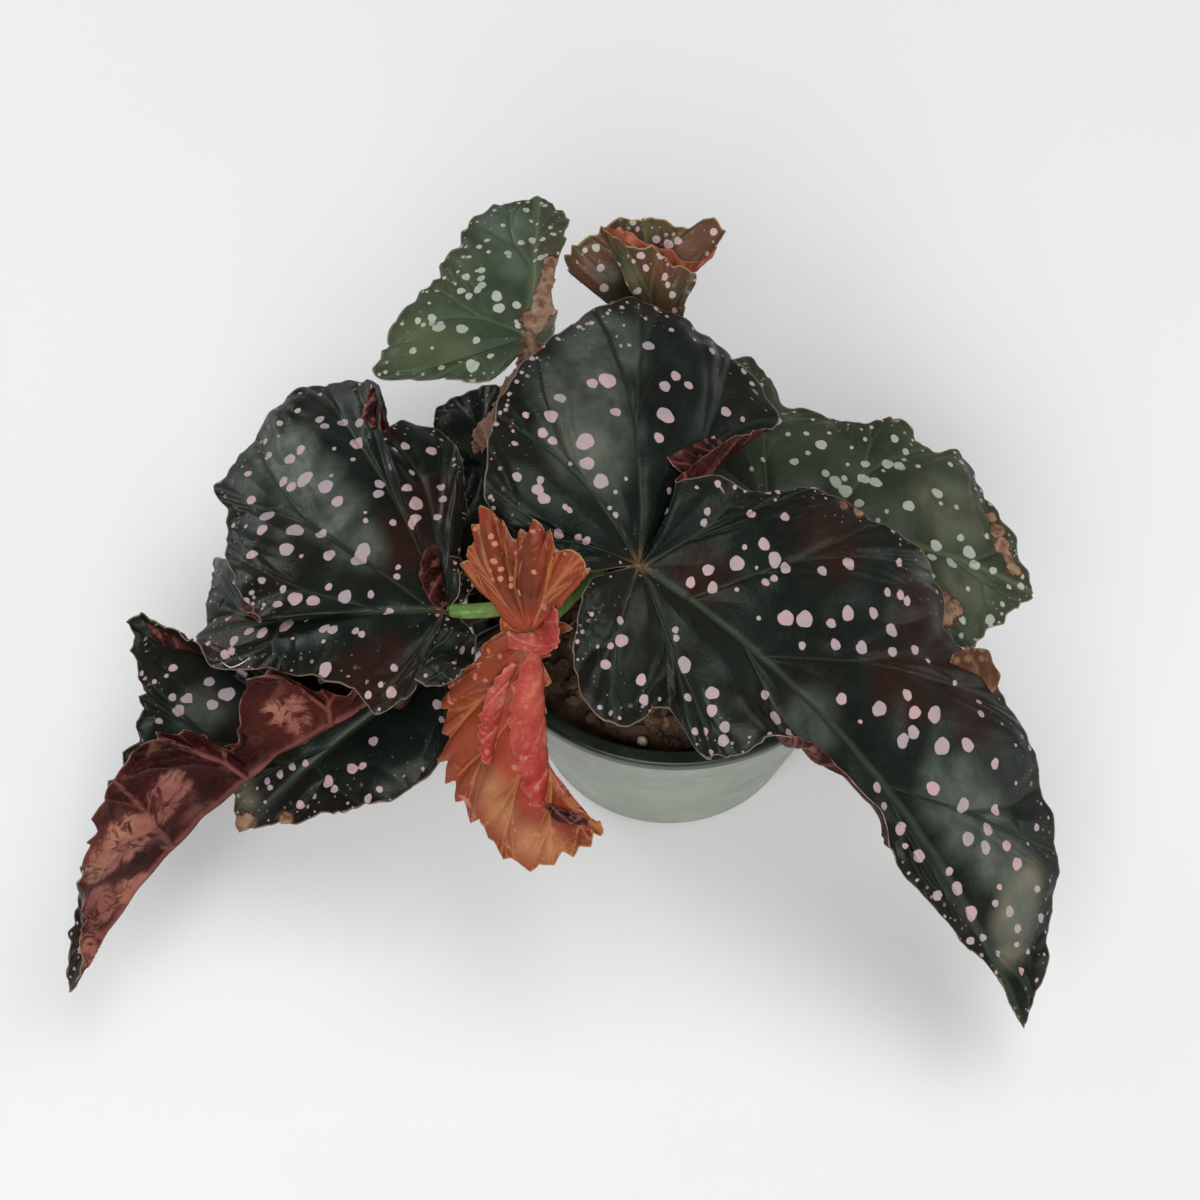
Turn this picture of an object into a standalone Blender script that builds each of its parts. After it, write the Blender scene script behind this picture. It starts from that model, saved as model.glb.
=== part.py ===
"""A potted spotted begonia: nine large leaves on two canes, in a nursery pot inside an outer pot.

Lengths below are in millimetres and angles in degrees. The plant stands at the world origin,
its pot's base on the floor, and the front of the plant faces -Y.
"""
import math

import bmesh
import bpy
import numpy as np
from mathutils import Vector

MM = 0.001

# Pots
POT_SIDES = 40
RIM_RADIUS = 55.0
POT_HEIGHT = 75.0
BASE_RADIUS = 37.5
OUTER_WALL = 2.0
FLOOR_THICKNESS = 3.0
LIP_HEIGHT = 4.0
LIP_WIDTH = 5.0
INNER_WALL = 1.2
FIT = 0.3
DRAIN_RADIUS = 3.0
DRAIN_RING = 20.0
DRAIN_COUNT = 6

# Soil
SOIL_TOP = 66.0
SOIL_LUMP = 1.2
SOIL_RINGS = 6
SOIL_SIDES = 32
CHIP_COUNT = 20
PRILL_RADIUS = 1.5
PRILL_AT = (-8.5, -44.0)

# Stems
CANE_RADIUS = 3.0
PETIOLE_RADIUS = 2.1
STEM_SIDES = 1
STEM_END = 0.6
JOINT_GAP = 0.7
NOTCH_GAP = 2.4
NOTCH_JOINTS = ("leaf_left", "leaf_low_left")

# Leaves
BLADE = 0.8
MIDRIB_STEPS = 16
ROWS_PER_RIB = 2
ACROSS = (0.0, 0.14, 0.42, 0.72, 1.0)
BEND_STEPS = 24
SCALLOP = 1.0
SCALLOP_PITCH = 13.0
RUFFLE = 0.9
RUFFLE_PITCH = 31.0

# Every leaf: where the stalk meets it, the heading, pitch and roll it sets off with, its
# midrib (length, droop, sideways sweep) and the ribs of its left and right halves from the
# notch round to the tip. A rib is (start along midrib, angle to it, reach, rise at its root,
# rise at the margin, sideways turn, roll of the last stretch); the last two may be left out.
LEAVES = {
    "leaf_front_right": dict(
        at=(-10, -24, 122), set_off=(-26, -22, 0), midrib=(160, -24, -26),
        left=[
            (0, 220, 13, 4, -8), (0, 200, 28, 8, -14), (0, 190, 40, 10, -16),
            (0, 170, 48, 12, -18), (0, 152, 57, 12, -20), (0, 134, 66, 12, -22),
            (0, 115, 78, 12, -25), (0, 100, 75, 8, -25), (0, 92, 72, 2, -20, -10),
            (0, 86, 63, -4, -12, -20), (0, 83, 38, 12, 4, 6), (0, 80, 23, 24, 8, 36),
            (0, 77, 29, 24, -4, 14), (0, 71, 38, 16, -6, -14), (0.03, 62, 51, 12, -10),
            (0.06, 55, 62, 10, -12), (0.12, 47, 72, 10, -18), (0.17, 40, 69, 8, -22),
            (0.25, 39, 71, 8, -18), (0.42, 39, 64, 5, -15), (0.58, 39, 52, 2, -12),
            (0.78, 44, 28, 0, -5), (1, 20, 0, 0, 0),
        ],
        right=[
            (0, 130, 13, 4, -8), (0, 112, 20, 6, -10), (0, 97, 28, 8, -14),
            (0, 83, 37, 8, -16), (0, 70, 41, 6, -16), (0, 55, 36, 6, -16),
            (0, 46, 36, 6, -20), (0, 42, 48, 6, -16), (0.03, 37, 47, 6, -20),
            (0.08, 29, 42, 6, -10, 0, 60), (0.16, 28, 39, 6, -20, 0, 170),
            (0.26, 25, 31, 6, -20, 0, 170), (0.36, 22, 29, 6, -20, 0, 120),
            (0.5, 23, 25, 2, -14), (0.68, 19, 19, 0, -10), (0.85, 10, 8, 0, -5),
            (1, 20, 0, 0, 0),
        ],
    ),
    "leaf_left": dict(
        at=(-58, -23, 98), set_off=(175, -8, 0), midrib=(72, -24, 0),
        left=[
            (0, 112, 4, 4, -8), (0, 82, 11, 6, -10), (0, 76, 21, 6, -14), (0, 70, 26, 6, -14),
            (0.05, 68, 30, 6, -14), (0.14, 62, 25, 6, -12), (0.3, 60, 21, 8, -4),
            (0.5, 55, 18, 6, -4), (0.75, 50, 14, 2, -6), (1, 20, 0, 0, 0),
        ],
        right=[
            (0, 140, 5, 20, 50), (0, 100, 12, 12, -6), (0, 93, 23, 8, -8), (0, 91, 34, 8, -10),
            (0, 88, 46, 8, -12), (0, 84, 54, 8, -14), (0, 78, 59, 8, -14),
            (0, 72, 62, 8, -14), (0, 68, 58, 6, 0, -4), (0, 66, 73, 4, -4, 6),
            (0, 62, 86, 6, -16), (0, 56, 92, 6, -18), (0.02, 48, 88, 6, -18),
            (0.04, 41, 83, 6, -18), (0.08, 33, 78, 6, -18), (0.12, 31, 66, 8, -16),
            (0.18, 25, 57, 8, -14), (0.24, 13, 41, 10, -6), (0.3, -5, 27, 14, 0),
            (0.42, 28, 40, -6, -24), (0.5, 37, 56, -8, -26), (0.62, 31, 34, -4, -20),
            (0.8, 22, 14, 0, -14), (1, 20, 0, 0, 0),
        ],
    ),
    "leaf_folded": dict(
        at=(-71, -36, 79), set_off=(199, -10, 6), midrib=(120, -32, 30),
        left=[
            (0, 120, 5, 60, 80), (0.08, 90, 6, 90, 100), (0.14, 90, 11, 90, 115),
            (0.17, 90, 21, 90, 115), (0.21, 90, 26, 90, 115), (0.28, 90, 21, 90, 115),
            (0.34, 90, 11, 90, 115), (0.38, 90, 24, 90, 115), (0.43, 90, 33, 85, 110),
            (0.48, 90, 35, 80, 105), (0.58, 90, 33, 75, 100), (0.69, 90, 25, 70, 95),
            (0.82, 90, 12, 60, 90), (1, 20, 0, 0, 0),
        ],
        right=[
            (0, 120, 6, 20, 10), (0, 90, 10, 16, 8), (0.03, 70, 18, 10, 0),
            (0.08, 66, 31, 8, -6), (0.12, 60, 38, 8, -10), (0.18, 62, 47, 8, -12, 0, 110),
            (0.26, 71, 62, 10, -8, 0, 110), (0.34, 70, 43, 20, 0), (0.5, 90, 27, 30, 15),
            (0.6, 90, 20, 40, 30), (0.67, 90, 16, 36, 24), (0.78, 90, 14, 16, 0),
            (0.9, 70, 7, 0, -10), (1, 20, 0, 0, 0),
        ],
    ),
    "leaf_low_left": dict(
        at=(-61, -26, 72), set_off=(212, -8, 0), midrib=(70, -34, 0),
        left=[
            (0, 146, 6, 14, 10), (0, 134, 17, 18, 12), (0, 120, 19, 14, 6),
            (0, 102, 16, 8, -4), (0, 80, 15, 4, -8), (0, 66, 21, 4, -14),
            (0.04, 62, 25, 4, -14), (0.12, 61, 26, 4, -14), (0.26, 63, 24, 4, -14),
            (0.42, 63, 20, 4, -12), (0.56, 58, 15, 3, -10), (0.7, 50, 11, 2, -8),
            (0.85, 39, 5, 0, -4), (1, 20, 0, 0, 0),
        ],
        right=[
            (0, 148, 7, 14, 10), (0, 136, 20, 18, 12), (0, 118, 22, 14, 4),
            (0, 94, 23, 8, -6), (0, 64, 29, 4, -10),
            (0.05, 50, 36, 4, -12), (0.15, 39, 38, 4, -14), (0.3, 33, 36, 4, -14),
            (0.5, 28, 29, 4, -12), (0.7, 24, 19, 2, -8), (0.88, 25, 8, 0, -4),
            (1, 20, 0, 0, 0),
        ],
    ),
    "leaf_young": dict(
        at=(-36, -37, 112), set_off=(-121, -50, 0), midrib=(57, 14, 95),
        left=[
            (0, 152, 8, 10, 0), (0, 130, 10, 10, -10), (0.05, 106, 5, 10, -10),
            (0.2, 86, 6, 10, -10), (0.32, 45, 6, 10, -10), (0.45, 20, 6, 10, -10),
            (0.6, 10, 6, 10, -10), (0.75, 10, 5, 10, 0), (0.88, 10, 2, 10, 0),
            (1, 20, 0, 0, 0),
        ],
        right=[
            (0, 205, 12, 20, 10), (0, 203, 24, 30, 10), (0, 200, 31, 35, 5),
            (0, 182, 30, 40, 0), (0, 172, 34, 42, -5), (0, 158, 28, 42, -5),
            (0, 147, 35, 42, -10), (0, 130, 28, 42, -15), (0, 114, 22, 40, -20),
            (0, 95, 9, 30, -30), (0, 45, 14, 20, -30), (0.04, 39, 29, 10, -25),
            (0.12, 38, 32, 5, -20), (0.24, 44, 34, 0, -16), (0.36, 47, 34, 0, -14),
            (0.48, 48, 30, 0, -10), (0.6, 47, 28, 0, -6), (0.74, 48, 17, 0, 0),
            (0.86, 52, 9, 0, 0), (1, 20, 0, 0, 0),
        ],
    ),
    "leaf_back_left": dict(
        at=(-38, 46, 118), set_off=(88, 4, 0), midrib=(52, -20, 0),
        left=[
            (0, 156, 4, 4, 0), (0, 150, 11, 6, -6), (0, 143, 17, 6, -10),
            (0, 124, 21, 6, -10), (0, 113, 30, 4, -12), (0, 107, 40, 4, -14),
            (0, 95, 38, 4, -14), (0.02, 80, 35, 5, -14), (0.06, 65, 30, 5, -14),
            (0.12, 52, 30, 5, -14), (0.22, 41, 30, 5, -14), (0.36, 33, 28, 4, -12),
            (0.6, 25, 19, 3, -8), (0.82, 23, 8, 0, -4), (1, 20, 0, 0, 0),
        ],
        right=[
            (0, 110, 5, 4, 0), (0, 70, 8, 10, 30), (0.06, 42, 10, 10, 30),
            (0.2, 34, 11, 6, 10), (0.4, 34, 15, 4, 0), (0.6, 41, 13, 2, -4),
            (0.8, 48, 8, 0, -4), (1, 20, 0, 0, 0),
        ],
    ),
    "leaf_curled": dict(
        at=(-4, 58, 102), set_off=(99, 42, 0), midrib=(32, 10, 0),
        left=[
            (0, 70, 5, 4, 0), (0, 50, 14, 4, -10), (0, 46, 30, 4, -10), (0.1, 42, 30, 4, -8),
            (0.25, 36, 26, 4, -6), (0.5, 26, 18, 2, -4), (0.75, 22, 9, 0, 0),
            (1, 20, 0, 0, 0),
        ],
        right=[
            (0, 100, 4, 50, 10), (0, 46, 11, 50, 10), (0, 36, 20, 50, 10), (0, 29, 23, 50, 5),
            (0, 11, 24, 50, 5), (0, -1, 29, 50, 5), (0, -15, 31, 45, 5), (0, -21, 38, 40, 10),
            (0.1, 2, 23, 25, 10), (0.2, 41, 17, 15, 10), (0.3, 55, 21, 10, 10),
            (0.42, 58, 24, 0, 0), (0.55, 52, 20, 0, -4), (0.72, 62, 11, 0, -4),
            (0.86, 62, 6, 0, 0), (1, 20, 0, 0, 0),
        ],
    ),
    "leaf_right": dict(
        at=(23, 16, 86), set_off=(-10, -6, 0), midrib=(80, -24, 0),
        left=[
            (0, 195, 6, 4, -6), (0, 157, 19, 4, -8), (0, 130, 31, 4, -10),
            (0, 113, 42, 4, -12), (0, 102, 50, 4, -14), (0.04, 94, 36, 4, -14),
            (0.08, 84, 35, 4, -14), (0.14, 72, 35, 4, -14), (0.22, 67, 44, 4, -16),
            (0.34, 64, 37, 4, -16), (0.46, 63, 39, 4, -16), (0.58, 58, 30, 3, -12),
            (0.74, 55, 19, 2, -8), (0.88, 47, 9, 0, -4), (1, 20, 0, 0, 0),
        ],
        right=[
            (0, 135, 6, 4, -6), (0, 100, 18, 6, -6), (0, 77, 26, 8, -6),
            (0.05, 64, 32, 8, -6), (0.14, 55, 35, 8, -8), (0.28, 48, 36, 8, -10),
            (0.42, 40, 37, 6, -14), (0.58, 31, 27, 3, -12), (0.78, 21, 15, 0, -6),
            (1, 20, 0, 0, 0),
        ],
    ),
    "leaf_inner": dict(
        at=(-35, 19, 80), set_off=(137, 2, 0), midrib=(41, -12, 0),
        left=[
            (0, 115, 7, 8, 0), (0, 107, 25, 10, 2), (0.05, 102, 36, 10, 2),
            (0.15, 89, 29, 8, -4), (0.3, 77, 18, 5, -10), (0.5, 59, 11, 3, -10),
            (0.75, 42, 7, 0, -6), (1, 20, 0, 0, 0),
        ],
        right=[
            (0, 100, 4, 4, -4), (0, 61, 15, 4, -6), (0, 45, 28, 4, -8),
            (0.08, 36, 35, 4, -10), (0.2, 31, 36, 4, -10), (0.4, 26, 29, 4, -8),
            (0.65, 23, 19, 2, -6), (0.85, 22, 10, 0, -3), (1, 20, 0, 0, 0),
        ],
    ),
}

# Stems: the route of each cane from the soil up, then of the stalks that grow from it,
# each ending under the leaf that it carries.
CANES = {
    "cane_left": dict(
        route=[(-15, -1, 42), (-16, -2, 54), (-17, -3, 66), (-19, -6, 84), (-21, -10, 96), (-22, -12, 102)],
        stalks={
            "leaf_left": [(-20, -9, 92), (-30, -17, 96), (-44, -22, 97.5)],
            "leaf_folded": [(-18, -5, 80), (-30, -12, 88), (-46, -17, 88), (-60, -24, 86)],
            "leaf_low_left": [(-17, -5, 76), (-32, -13, 80), (-48, -20, 79)],
            "leaf_young": [(-21, -11, 98), (-26, -22, 105)],
            "leaf_inner": [(-18, -4, 75), (-26, 9, 76)],
        },
    ),
    "cane_right": dict(
        route=[(2, 6, 42), (1.5, 6, 54), (1, 6, 66), (-1, 6, 84), (-2, 6, 96), (-3, 7, 103)],
        stalks={
            "leaf_front_right": [(-2, 5, 97), (-5, -6, 108), (-9, -18, 115)],
            "leaf_right": [(0, 6, 76), (13, 12, 79)],
            "leaf_curled": [(-1, 7, 88), (-3, 30, 93), (-3, 48, 96)],
            "leaf_back_left": [(-2, 7, 94), (-14, 28, 104), (-28, 46, 110)],
        },
    ),
}

# The dead part of the back left leaf: a dry crumpled strip that hangs from its junction
STRIP = [(-36, 47, 119), (-39, 41, 116), (-42, 38, 108), (-46, 38, 98), (-50, 34, 92),
         (-52, 31, 88)]
STRIP_WIDTH = 7.0
STRIP_CRUMPLE = 1.6


# Scene helpers
def clear_scene():
    for old in list(bpy.data.objects):
        bpy.data.objects.remove(old, do_unlink=True)


def new_collection(name):
    made = bpy.data.collections.new(name)
    bpy.context.scene.collection.children.link(made)
    return made


def material(name, colour, roughness):
    made = bpy.data.materials.new(name)
    made.use_nodes = True
    shader = made.node_tree.nodes["Principled BSDF"]
    shader.inputs["Base Color"].default_value = (*colour, 1)
    shader.inputs["Roughness"].default_value = roughness
    return made


def add_object(name, mesh, where, finish=None):
    made = bpy.data.objects.new(name, mesh)
    where.objects.link(made)
    if finish:
        mesh.materials.append(finish)
    return made


def mesh_from(name, points, faces):
    """A mesh from points in millimetres."""
    made = bpy.data.meshes.new(name)
    made.from_pydata([Vector(p) * MM for p in points], [], faces)
    made.update()
    return made


def hide(helper):
    helper.hide_render = True
    helper.display_type = "WIRE"


def applied(target):
    """Swaps the object's mesh for the one that its modifiers give."""
    graph = bpy.context.evaluated_depsgraph_get()
    mesh = bpy.data.meshes.new_from_object(target.evaluated_get(graph))
    finish = list(target.data.materials)
    target.modifiers.clear()
    target.data = mesh
    if not mesh.materials:
        for each in finish:
            mesh.materials.append(each)


def drop(helper):
    bpy.data.objects.remove(helper, do_unlink=True)


# Pots
def turned(name, profile, where, finish):
    """A body turned about Z from a profile of (radius, height) that runs from the top down."""
    points = [(radius, 0, height) for radius, height in profile]
    made = bpy.data.meshes.new(name)
    edges = [(i, i + 1) for i in range(len(points) - 1)]
    made.from_pydata([Vector(p) * MM for p in points], edges, [])
    body = add_object(name, made, where, finish)
    screw = body.modifiers.new("turn", "SCREW")
    screw.steps = screw.render_steps = POT_SIDES
    screw.use_merge_vertices = True
    screw.merge_threshold = 0.0001
    return body


def wall_radius(height):
    """Outside radius of the outer pot."""
    return BASE_RADIUS + (RIM_RADIUS - BASE_RADIUS) * height / POT_HEIGHT


def make_outer_pot(where):
    top = POT_HEIGHT - LIP_HEIGHT - FIT
    inside = [
        (0, FLOOR_THICKNESS),
        (wall_radius(FLOOR_THICKNESS) - OUTER_WALL - 2, FLOOR_THICKNESS),
        (wall_radius(FLOOR_THICKNESS + 2) - OUTER_WALL, FLOOR_THICKNESS + 2),
        (wall_radius(top) - OUTER_WALL, top - 0.4),
        (wall_radius(top) - OUTER_WALL + 0.4, top),
    ]
    outside = [
        (wall_radius(top) - 0.4, top),
        (wall_radius(top), top - 0.4),
        (wall_radius(1.5), 1.5),
        (BASE_RADIUS - 1.2, 0),
        (0, 0),
    ]
    sage = material("sage_plastic", (0.29, 0.33, 0.29), 0.45)
    return turned("outer_pot", inside + outside, where, sage)


def make_grow_pot(where, cutters):
    top = POT_HEIGHT - LIP_HEIGHT
    clear = OUTER_WALL + FIT
    under = FLOOR_THICKNESS + FIT
    floor = under + INNER_WALL
    inside = [
        (0, floor),
        (wall_radius(floor) - clear - INNER_WALL - 3, floor),
        (wall_radius(floor + 3) - clear - INNER_WALL, floor + 3),
        (wall_radius(top) - clear - INNER_WALL, top - 1),
        (RIM_RADIUS - LIP_WIDTH + 0.6, POT_HEIGHT - 1),
        (RIM_RADIUS - LIP_WIDTH + 1.6, POT_HEIGHT),
    ]
    outside = [
        (RIM_RADIUS - 0.6, POT_HEIGHT),
        (RIM_RADIUS, POT_HEIGHT - 0.8),
        (RIM_RADIUS - 0.4, top),
        (wall_radius(top) - clear, top),
        (wall_radius(under + 3) - clear, under + 3),
        (wall_radius(under) - clear - 3, under),
        (0, under),
    ]
    green = material("green_plastic", (0.02, 0.035, 0.022), 0.4)
    pot = turned("grow_pot", inside + outside, where, green)
    for i in range(DRAIN_COUNT):
        turn = 2 * math.pi * i / DRAIN_COUNT
        hole = bmesh.new()
        bmesh.ops.create_cone(
            hole, cap_ends=True, segments=12, radius1=DRAIN_RADIUS * MM,
            radius2=DRAIN_RADIUS * MM, depth=10 * MM)
        mesh = bpy.data.meshes.new("drain_hole")
        hole.to_mesh(mesh)
        hole.free()
        cutter = add_object("drain_hole", mesh, cutters)
        cutter.location = Vector(
            (DRAIN_RING * math.cos(turn), DRAIN_RING * math.sin(turn), floor - 1)) * MM
        hide(cutter)
        cut = pot.modifiers.new("drain", "BOOLEAN")
        cut.operation = "DIFFERENCE"
        cut.object = cutter
    return pot


# Soil
def soil_height(x, y):
    """Lumpy top of the potting mix."""
    lump = math.sin(0.31 * x + 1.7) * math.cos(0.27 * y + 0.4)
    lump += 0.6 * math.sin(0.53 * x - 0.41 * y + 2.1)
    return SOIL_TOP + SOIL_LUMP * lump


def make_chip(number, where):
    """One flat bark chip, half sunk in the potting mix."""
    turn = number * 2.4
    out = 8 + 33 * math.sqrt((number + 0.5) / CHIP_COUNT)
    x, y = out * math.cos(turn), out * math.sin(turn)
    box = bmesh.new()
    bmesh.ops.create_cube(box, size=MM)
    long, wide, thick = 5 + number % 4, 3 + number % 3, 2.4
    bmesh.ops.scale(box, vec=(long, wide, thick), verts=box.verts)
    mesh = bpy.data.meshes.new("chip")
    box.to_mesh(mesh)
    box.free()
    chip = add_object("chip", mesh, where)
    chip.location = Vector((x, y, soil_height(x, y) + 0.2)) * MM
    chip.rotation_euler = (0.35 * math.sin(number), 0.3 * math.cos(3 * number), turn * 1.7)
    return chip


def make_potting_mix(where, helpers):
    clear = OUTER_WALL + INNER_WALL + 2 * FIT
    floor = FLOOR_THICKNESS + INNER_WALL + 2 * FIT
    base = wall_radius(floor) - clear - 4
    rim = wall_radius(SOIL_TOP - 3) - clear - 0.4
    points, faces = [(0, 0, soil_height(0, 0))], []
    rings = [(rim * (r + 1) / SOIL_RINGS, None) for r in range(SOIL_RINGS)]
    rings += [(rim, SOIL_TOP - 4), (base + 2.5, floor + 4), (base, floor)]
    for radius, height in rings:
        for s in range(SOIL_SIDES):
            turn = 2 * math.pi * s / SOIL_SIDES
            x, y = radius * math.cos(turn), radius * math.sin(turn)
            points.append((x, y, soil_height(x, y) if height is None else height))
    points.append((0, 0, floor))

    def corner(ring, side):
        return 1 + ring * SOIL_SIDES + side % SOIL_SIDES

    for s in range(SOIL_SIDES):
        faces.append((0, corner(0, s), corner(0, s + 1)))
        for r in range(len(rings) - 1):
            a, b = corner(r, s), corner(r, s + 1)
            c, d = corner(r + 1, s + 1), corner(r + 1, s)
            faces += [(a, d, c), (a, c, b)]
        last = len(rings) - 1
        faces.append((len(points) - 1, corner(last, s + 1), corner(last, s)))
    brown = material("bark_mix", (0.045, 0.03, 0.02), 0.95)
    mix = add_object("potting_mix", mesh_from("potting_mix", points, faces), where, brown)

    chips = new_collection("chips")
    for number in range(CHIP_COUNT):
        make_chip(number, chips)
    join = mix.modifiers.new("chips", "BOOLEAN")
    join.operation = "UNION"
    join.operand_type = "COLLECTION"
    join.collection = chips
    applied(mix)
    for chip in list(chips.objects):
        drop(chip)
    for name, cane in CANES.items():
        foot, top = (np.array(cane["route"][i], float) for i in (0, 2))
        rise = (top - foot) / np.linalg.norm(top - foot)
        route = [foot - FIT * rise, top, top + 8 * rise]
        tube = make_tube(name + "_hole", route, CANE_RADIUS + FIT, helpers)
        hide(tube)
        cut = mix.modifiers.new("hole", "BOOLEAN")
        cut.operation = "DIFFERENCE"
        cut.object = tube
    prill = bmesh.new()
    x, y = PRILL_AT
    bmesh.ops.create_icosphere(prill, subdivisions=2, radius=(PRILL_RADIUS + FIT) * MM)
    mesh = bpy.data.meshes.new("prill_seat")
    prill.to_mesh(mesh)
    prill.free()
    seat = add_object("prill_seat", mesh, helpers)
    seat.location = Vector((x, y, soil_height(x, y) + 0.9)) * MM
    hide(seat)
    cut = mix.modifiers.new("seat", "BOOLEAN")
    cut.operation = "DIFFERENCE"
    cut.object = seat
    return mix


def make_prill(where):
    ball = bmesh.new()
    bmesh.ops.create_icosphere(ball, subdivisions=2, radius=PRILL_RADIUS * MM)
    mesh = bpy.data.meshes.new("fertiliser_prill")
    ball.to_mesh(mesh)
    ball.free()
    cream = material("prill_coat", (0.72, 0.66, 0.5), 0.4)
    prill = add_object("fertiliser_prill", mesh, where, cream)
    x, y = PRILL_AT
    prill.location = Vector((x, y, soil_height(x, y) + 0.9)) * MM
    return prill


# Stems
def smooth_route(points, steps=4):
    """Catmull-Rom through the given points."""
    p = [np.array(q, float) for q in points]
    p = [2 * p[0] - p[1]] + p + [2 * p[-1] - p[-2]]
    out = []
    for i in range(1, len(p) - 2):
        a, b, c, d = p[i - 1:i + 3]
        for k in range(steps):
            t = k / steps
            out.append(0.5 * (2 * b + (c - a) * t + (2 * a - 5 * b + 4 * c - d) * t * t
                              + (3 * b - a - 3 * c + d) * t ** 3))
    out.append(p[-2])
    return out


def make_tube(name, points, radius, where, end=1.0):
    """A round bar along the points, as a closed mesh; end is how far its tip is thinned."""
    route = [Vector(p) * MM for p in smooth_route(points, 3)]
    curve = bpy.data.curves.new(name, "CURVE")
    curve.dimensions = "3D"
    curve.bevel_depth = radius * MM
    curve.bevel_resolution = STEM_SIDES
    curve.use_fill_caps = True
    line = curve.splines.new("POLY")
    line.points.add(len(route) - 1)
    for point, place in zip(line.points, route):
        point.co = (*place, 1)
    line.points[-1].radius = end
    guide = bpy.data.objects.new(name, curve)
    where.objects.link(guide)
    bpy.context.view_layer.update()
    graph = bpy.context.evaluated_depsgraph_get()
    mesh = bpy.data.meshes.new_from_object(guide.evaluated_get(graph))
    drop(guide)
    welded = bmesh.new()
    welded.from_mesh(mesh)
    bmesh.ops.remove_doubles(welded, verts=welded.verts, dist=1e-6)
    bmesh.ops.recalc_face_normals(welded, faces=welded.faces)
    welded.to_mesh(mesh)
    welded.free()
    return add_object(name, mesh, where)


def make_cane(name, where):
    cane = CANES[name]
    green = material(name + "_skin", (0.16, 0.3, 0.07), 0.4)
    stem = make_tube(name, cane["route"], CANE_RADIUS, where)
    stem.data.materials.append(green)
    stalks = new_collection(name + "_stalks")
    for leaf, route in cane["stalks"].items():
        joint = np.array(LEAVES[leaf]["at"], float)
        along, _, up = frame_of(*LEAVES[leaf]["set_off"])
        if leaf in NOTCH_JOINTS:
            end, way = joint - along * NOTCH_GAP, along
        else:
            end, way = joint - up * (BLADE / 2 + JOINT_GAP), up
        make_tube("stalk", route + [end - way * 3.0, end], PETIOLE_RADIUS, stalks, STEM_END)
    join = stem.modifiers.new("stalks", "BOOLEAN")
    join.operation = "UNION"
    join.operand_type = "COLLECTION"
    join.collection = stalks
    applied(stem)
    for stalk in list(stalks.objects):
        drop(stalk)
    return stem


# Leaves
def turn_about(axis, degrees):
    a = math.radians(degrees)
    x, y, z = np.asarray(axis) / np.linalg.norm(axis)
    k = np.array([[0, -z, y], [z, 0, -x], [-y, x, 0]])
    return np.eye(3) + math.sin(a) * k + (1 - math.cos(a)) * k @ k


def frame_of(heading, pitch, roll):
    """Unit vectors along, to the left of and out of a leaf that sets off this way."""
    h, p = math.radians(heading), math.radians(pitch)
    along = np.array([math.cos(h) * math.cos(p), math.sin(h) * math.cos(p), math.sin(p)])
    left = np.array([-math.sin(h), math.cos(h), 0.0])
    rolled = turn_about(along, roll)
    return np.stack([along, rolled @ left, rolled @ np.cross(along, left)])


def bent_path(axes, angle, turn, rise, droop, roll, length):
    """Points of a line that leaves at an angle and bends, sideways and up or down."""
    s = (np.arange(BEND_STEPS) + 0.5) / BEND_STEPS
    side = np.radians(angle + turn * s)
    lift = np.radians(rise + (droop - rise) * s + roll * s ** 6)
    step = ((np.cos(lift) * np.cos(side))[:, None] * axes[0]
            + (np.cos(lift) * np.sin(side))[:, None] * axes[1]
            + np.sin(lift)[:, None] * axes[2])
    return np.vstack([np.zeros(3), np.cumsum(step, 0) * length / BEND_STEPS])


def midrib_point(leaf, share):
    """Place and axes of a leaf at a share of its midrib."""
    axes = frame_of(*leaf["set_off"])
    length, droop, sweep = leaf["midrib"]
    path = bent_path(axes, 0, sweep, 0, droop, 0, length) + np.array(leaf["at"], float)
    x = share * BEND_STEPS
    i = min(int(x), BEND_STEPS - 1)
    place = path[i] * (1 - x + i) + path[i + 1] * (x - i)
    axes = axes @ turn_about(axes[2], sweep * share).T
    return place, axes @ turn_about(axes[1], -droop * share).T


def rib_rows(ribs):
    """The ribs of one half made into closer rows: palmate ones, then one a step of the midrib."""
    full = np.array([list(r) + [0] * (7 - len(r)) for r in ribs], float)
    ends = np.vstack([2 * full[0] - full[1], full, 2 * full[-1] - full[-2]])
    rows = []
    for i in range(len(full) - 1):
        a, b, c, d = ends[i:i + 4]
        for t in np.arange(20) / 20:
            rows.append(0.5 * (2 * b + (c - a) * t + (2 * a - 5 * b + 4 * c - d) * t * t
                               + (3 * b - a - 3 * c + d) * t ** 3))
    rows.append(full[-1])
    rows = np.array(rows)
    palmate = int(np.sum(full[:, 0] == 0)) - 1
    first = rows[:palmate * 20 + 1:20 // ROWS_PER_RIB].copy()
    first[:, 0] = 0
    rest = rows[palmate * 20:]
    start = np.maximum.accumulate(np.clip(rest[:, 0], 0, 1)) + 1e-9 * np.arange(len(rest))
    shares = np.arange(1, MIDRIB_STEPS + 1) / MIDRIB_STEPS
    later = np.stack([np.interp(shares, start, rest[:, k]) for k in range(7)], 1)
    later[:, 0] = shares
    both = np.vstack([first, later])
    both[:, 2] = np.maximum(both[:, 2], 0)
    return both


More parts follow.
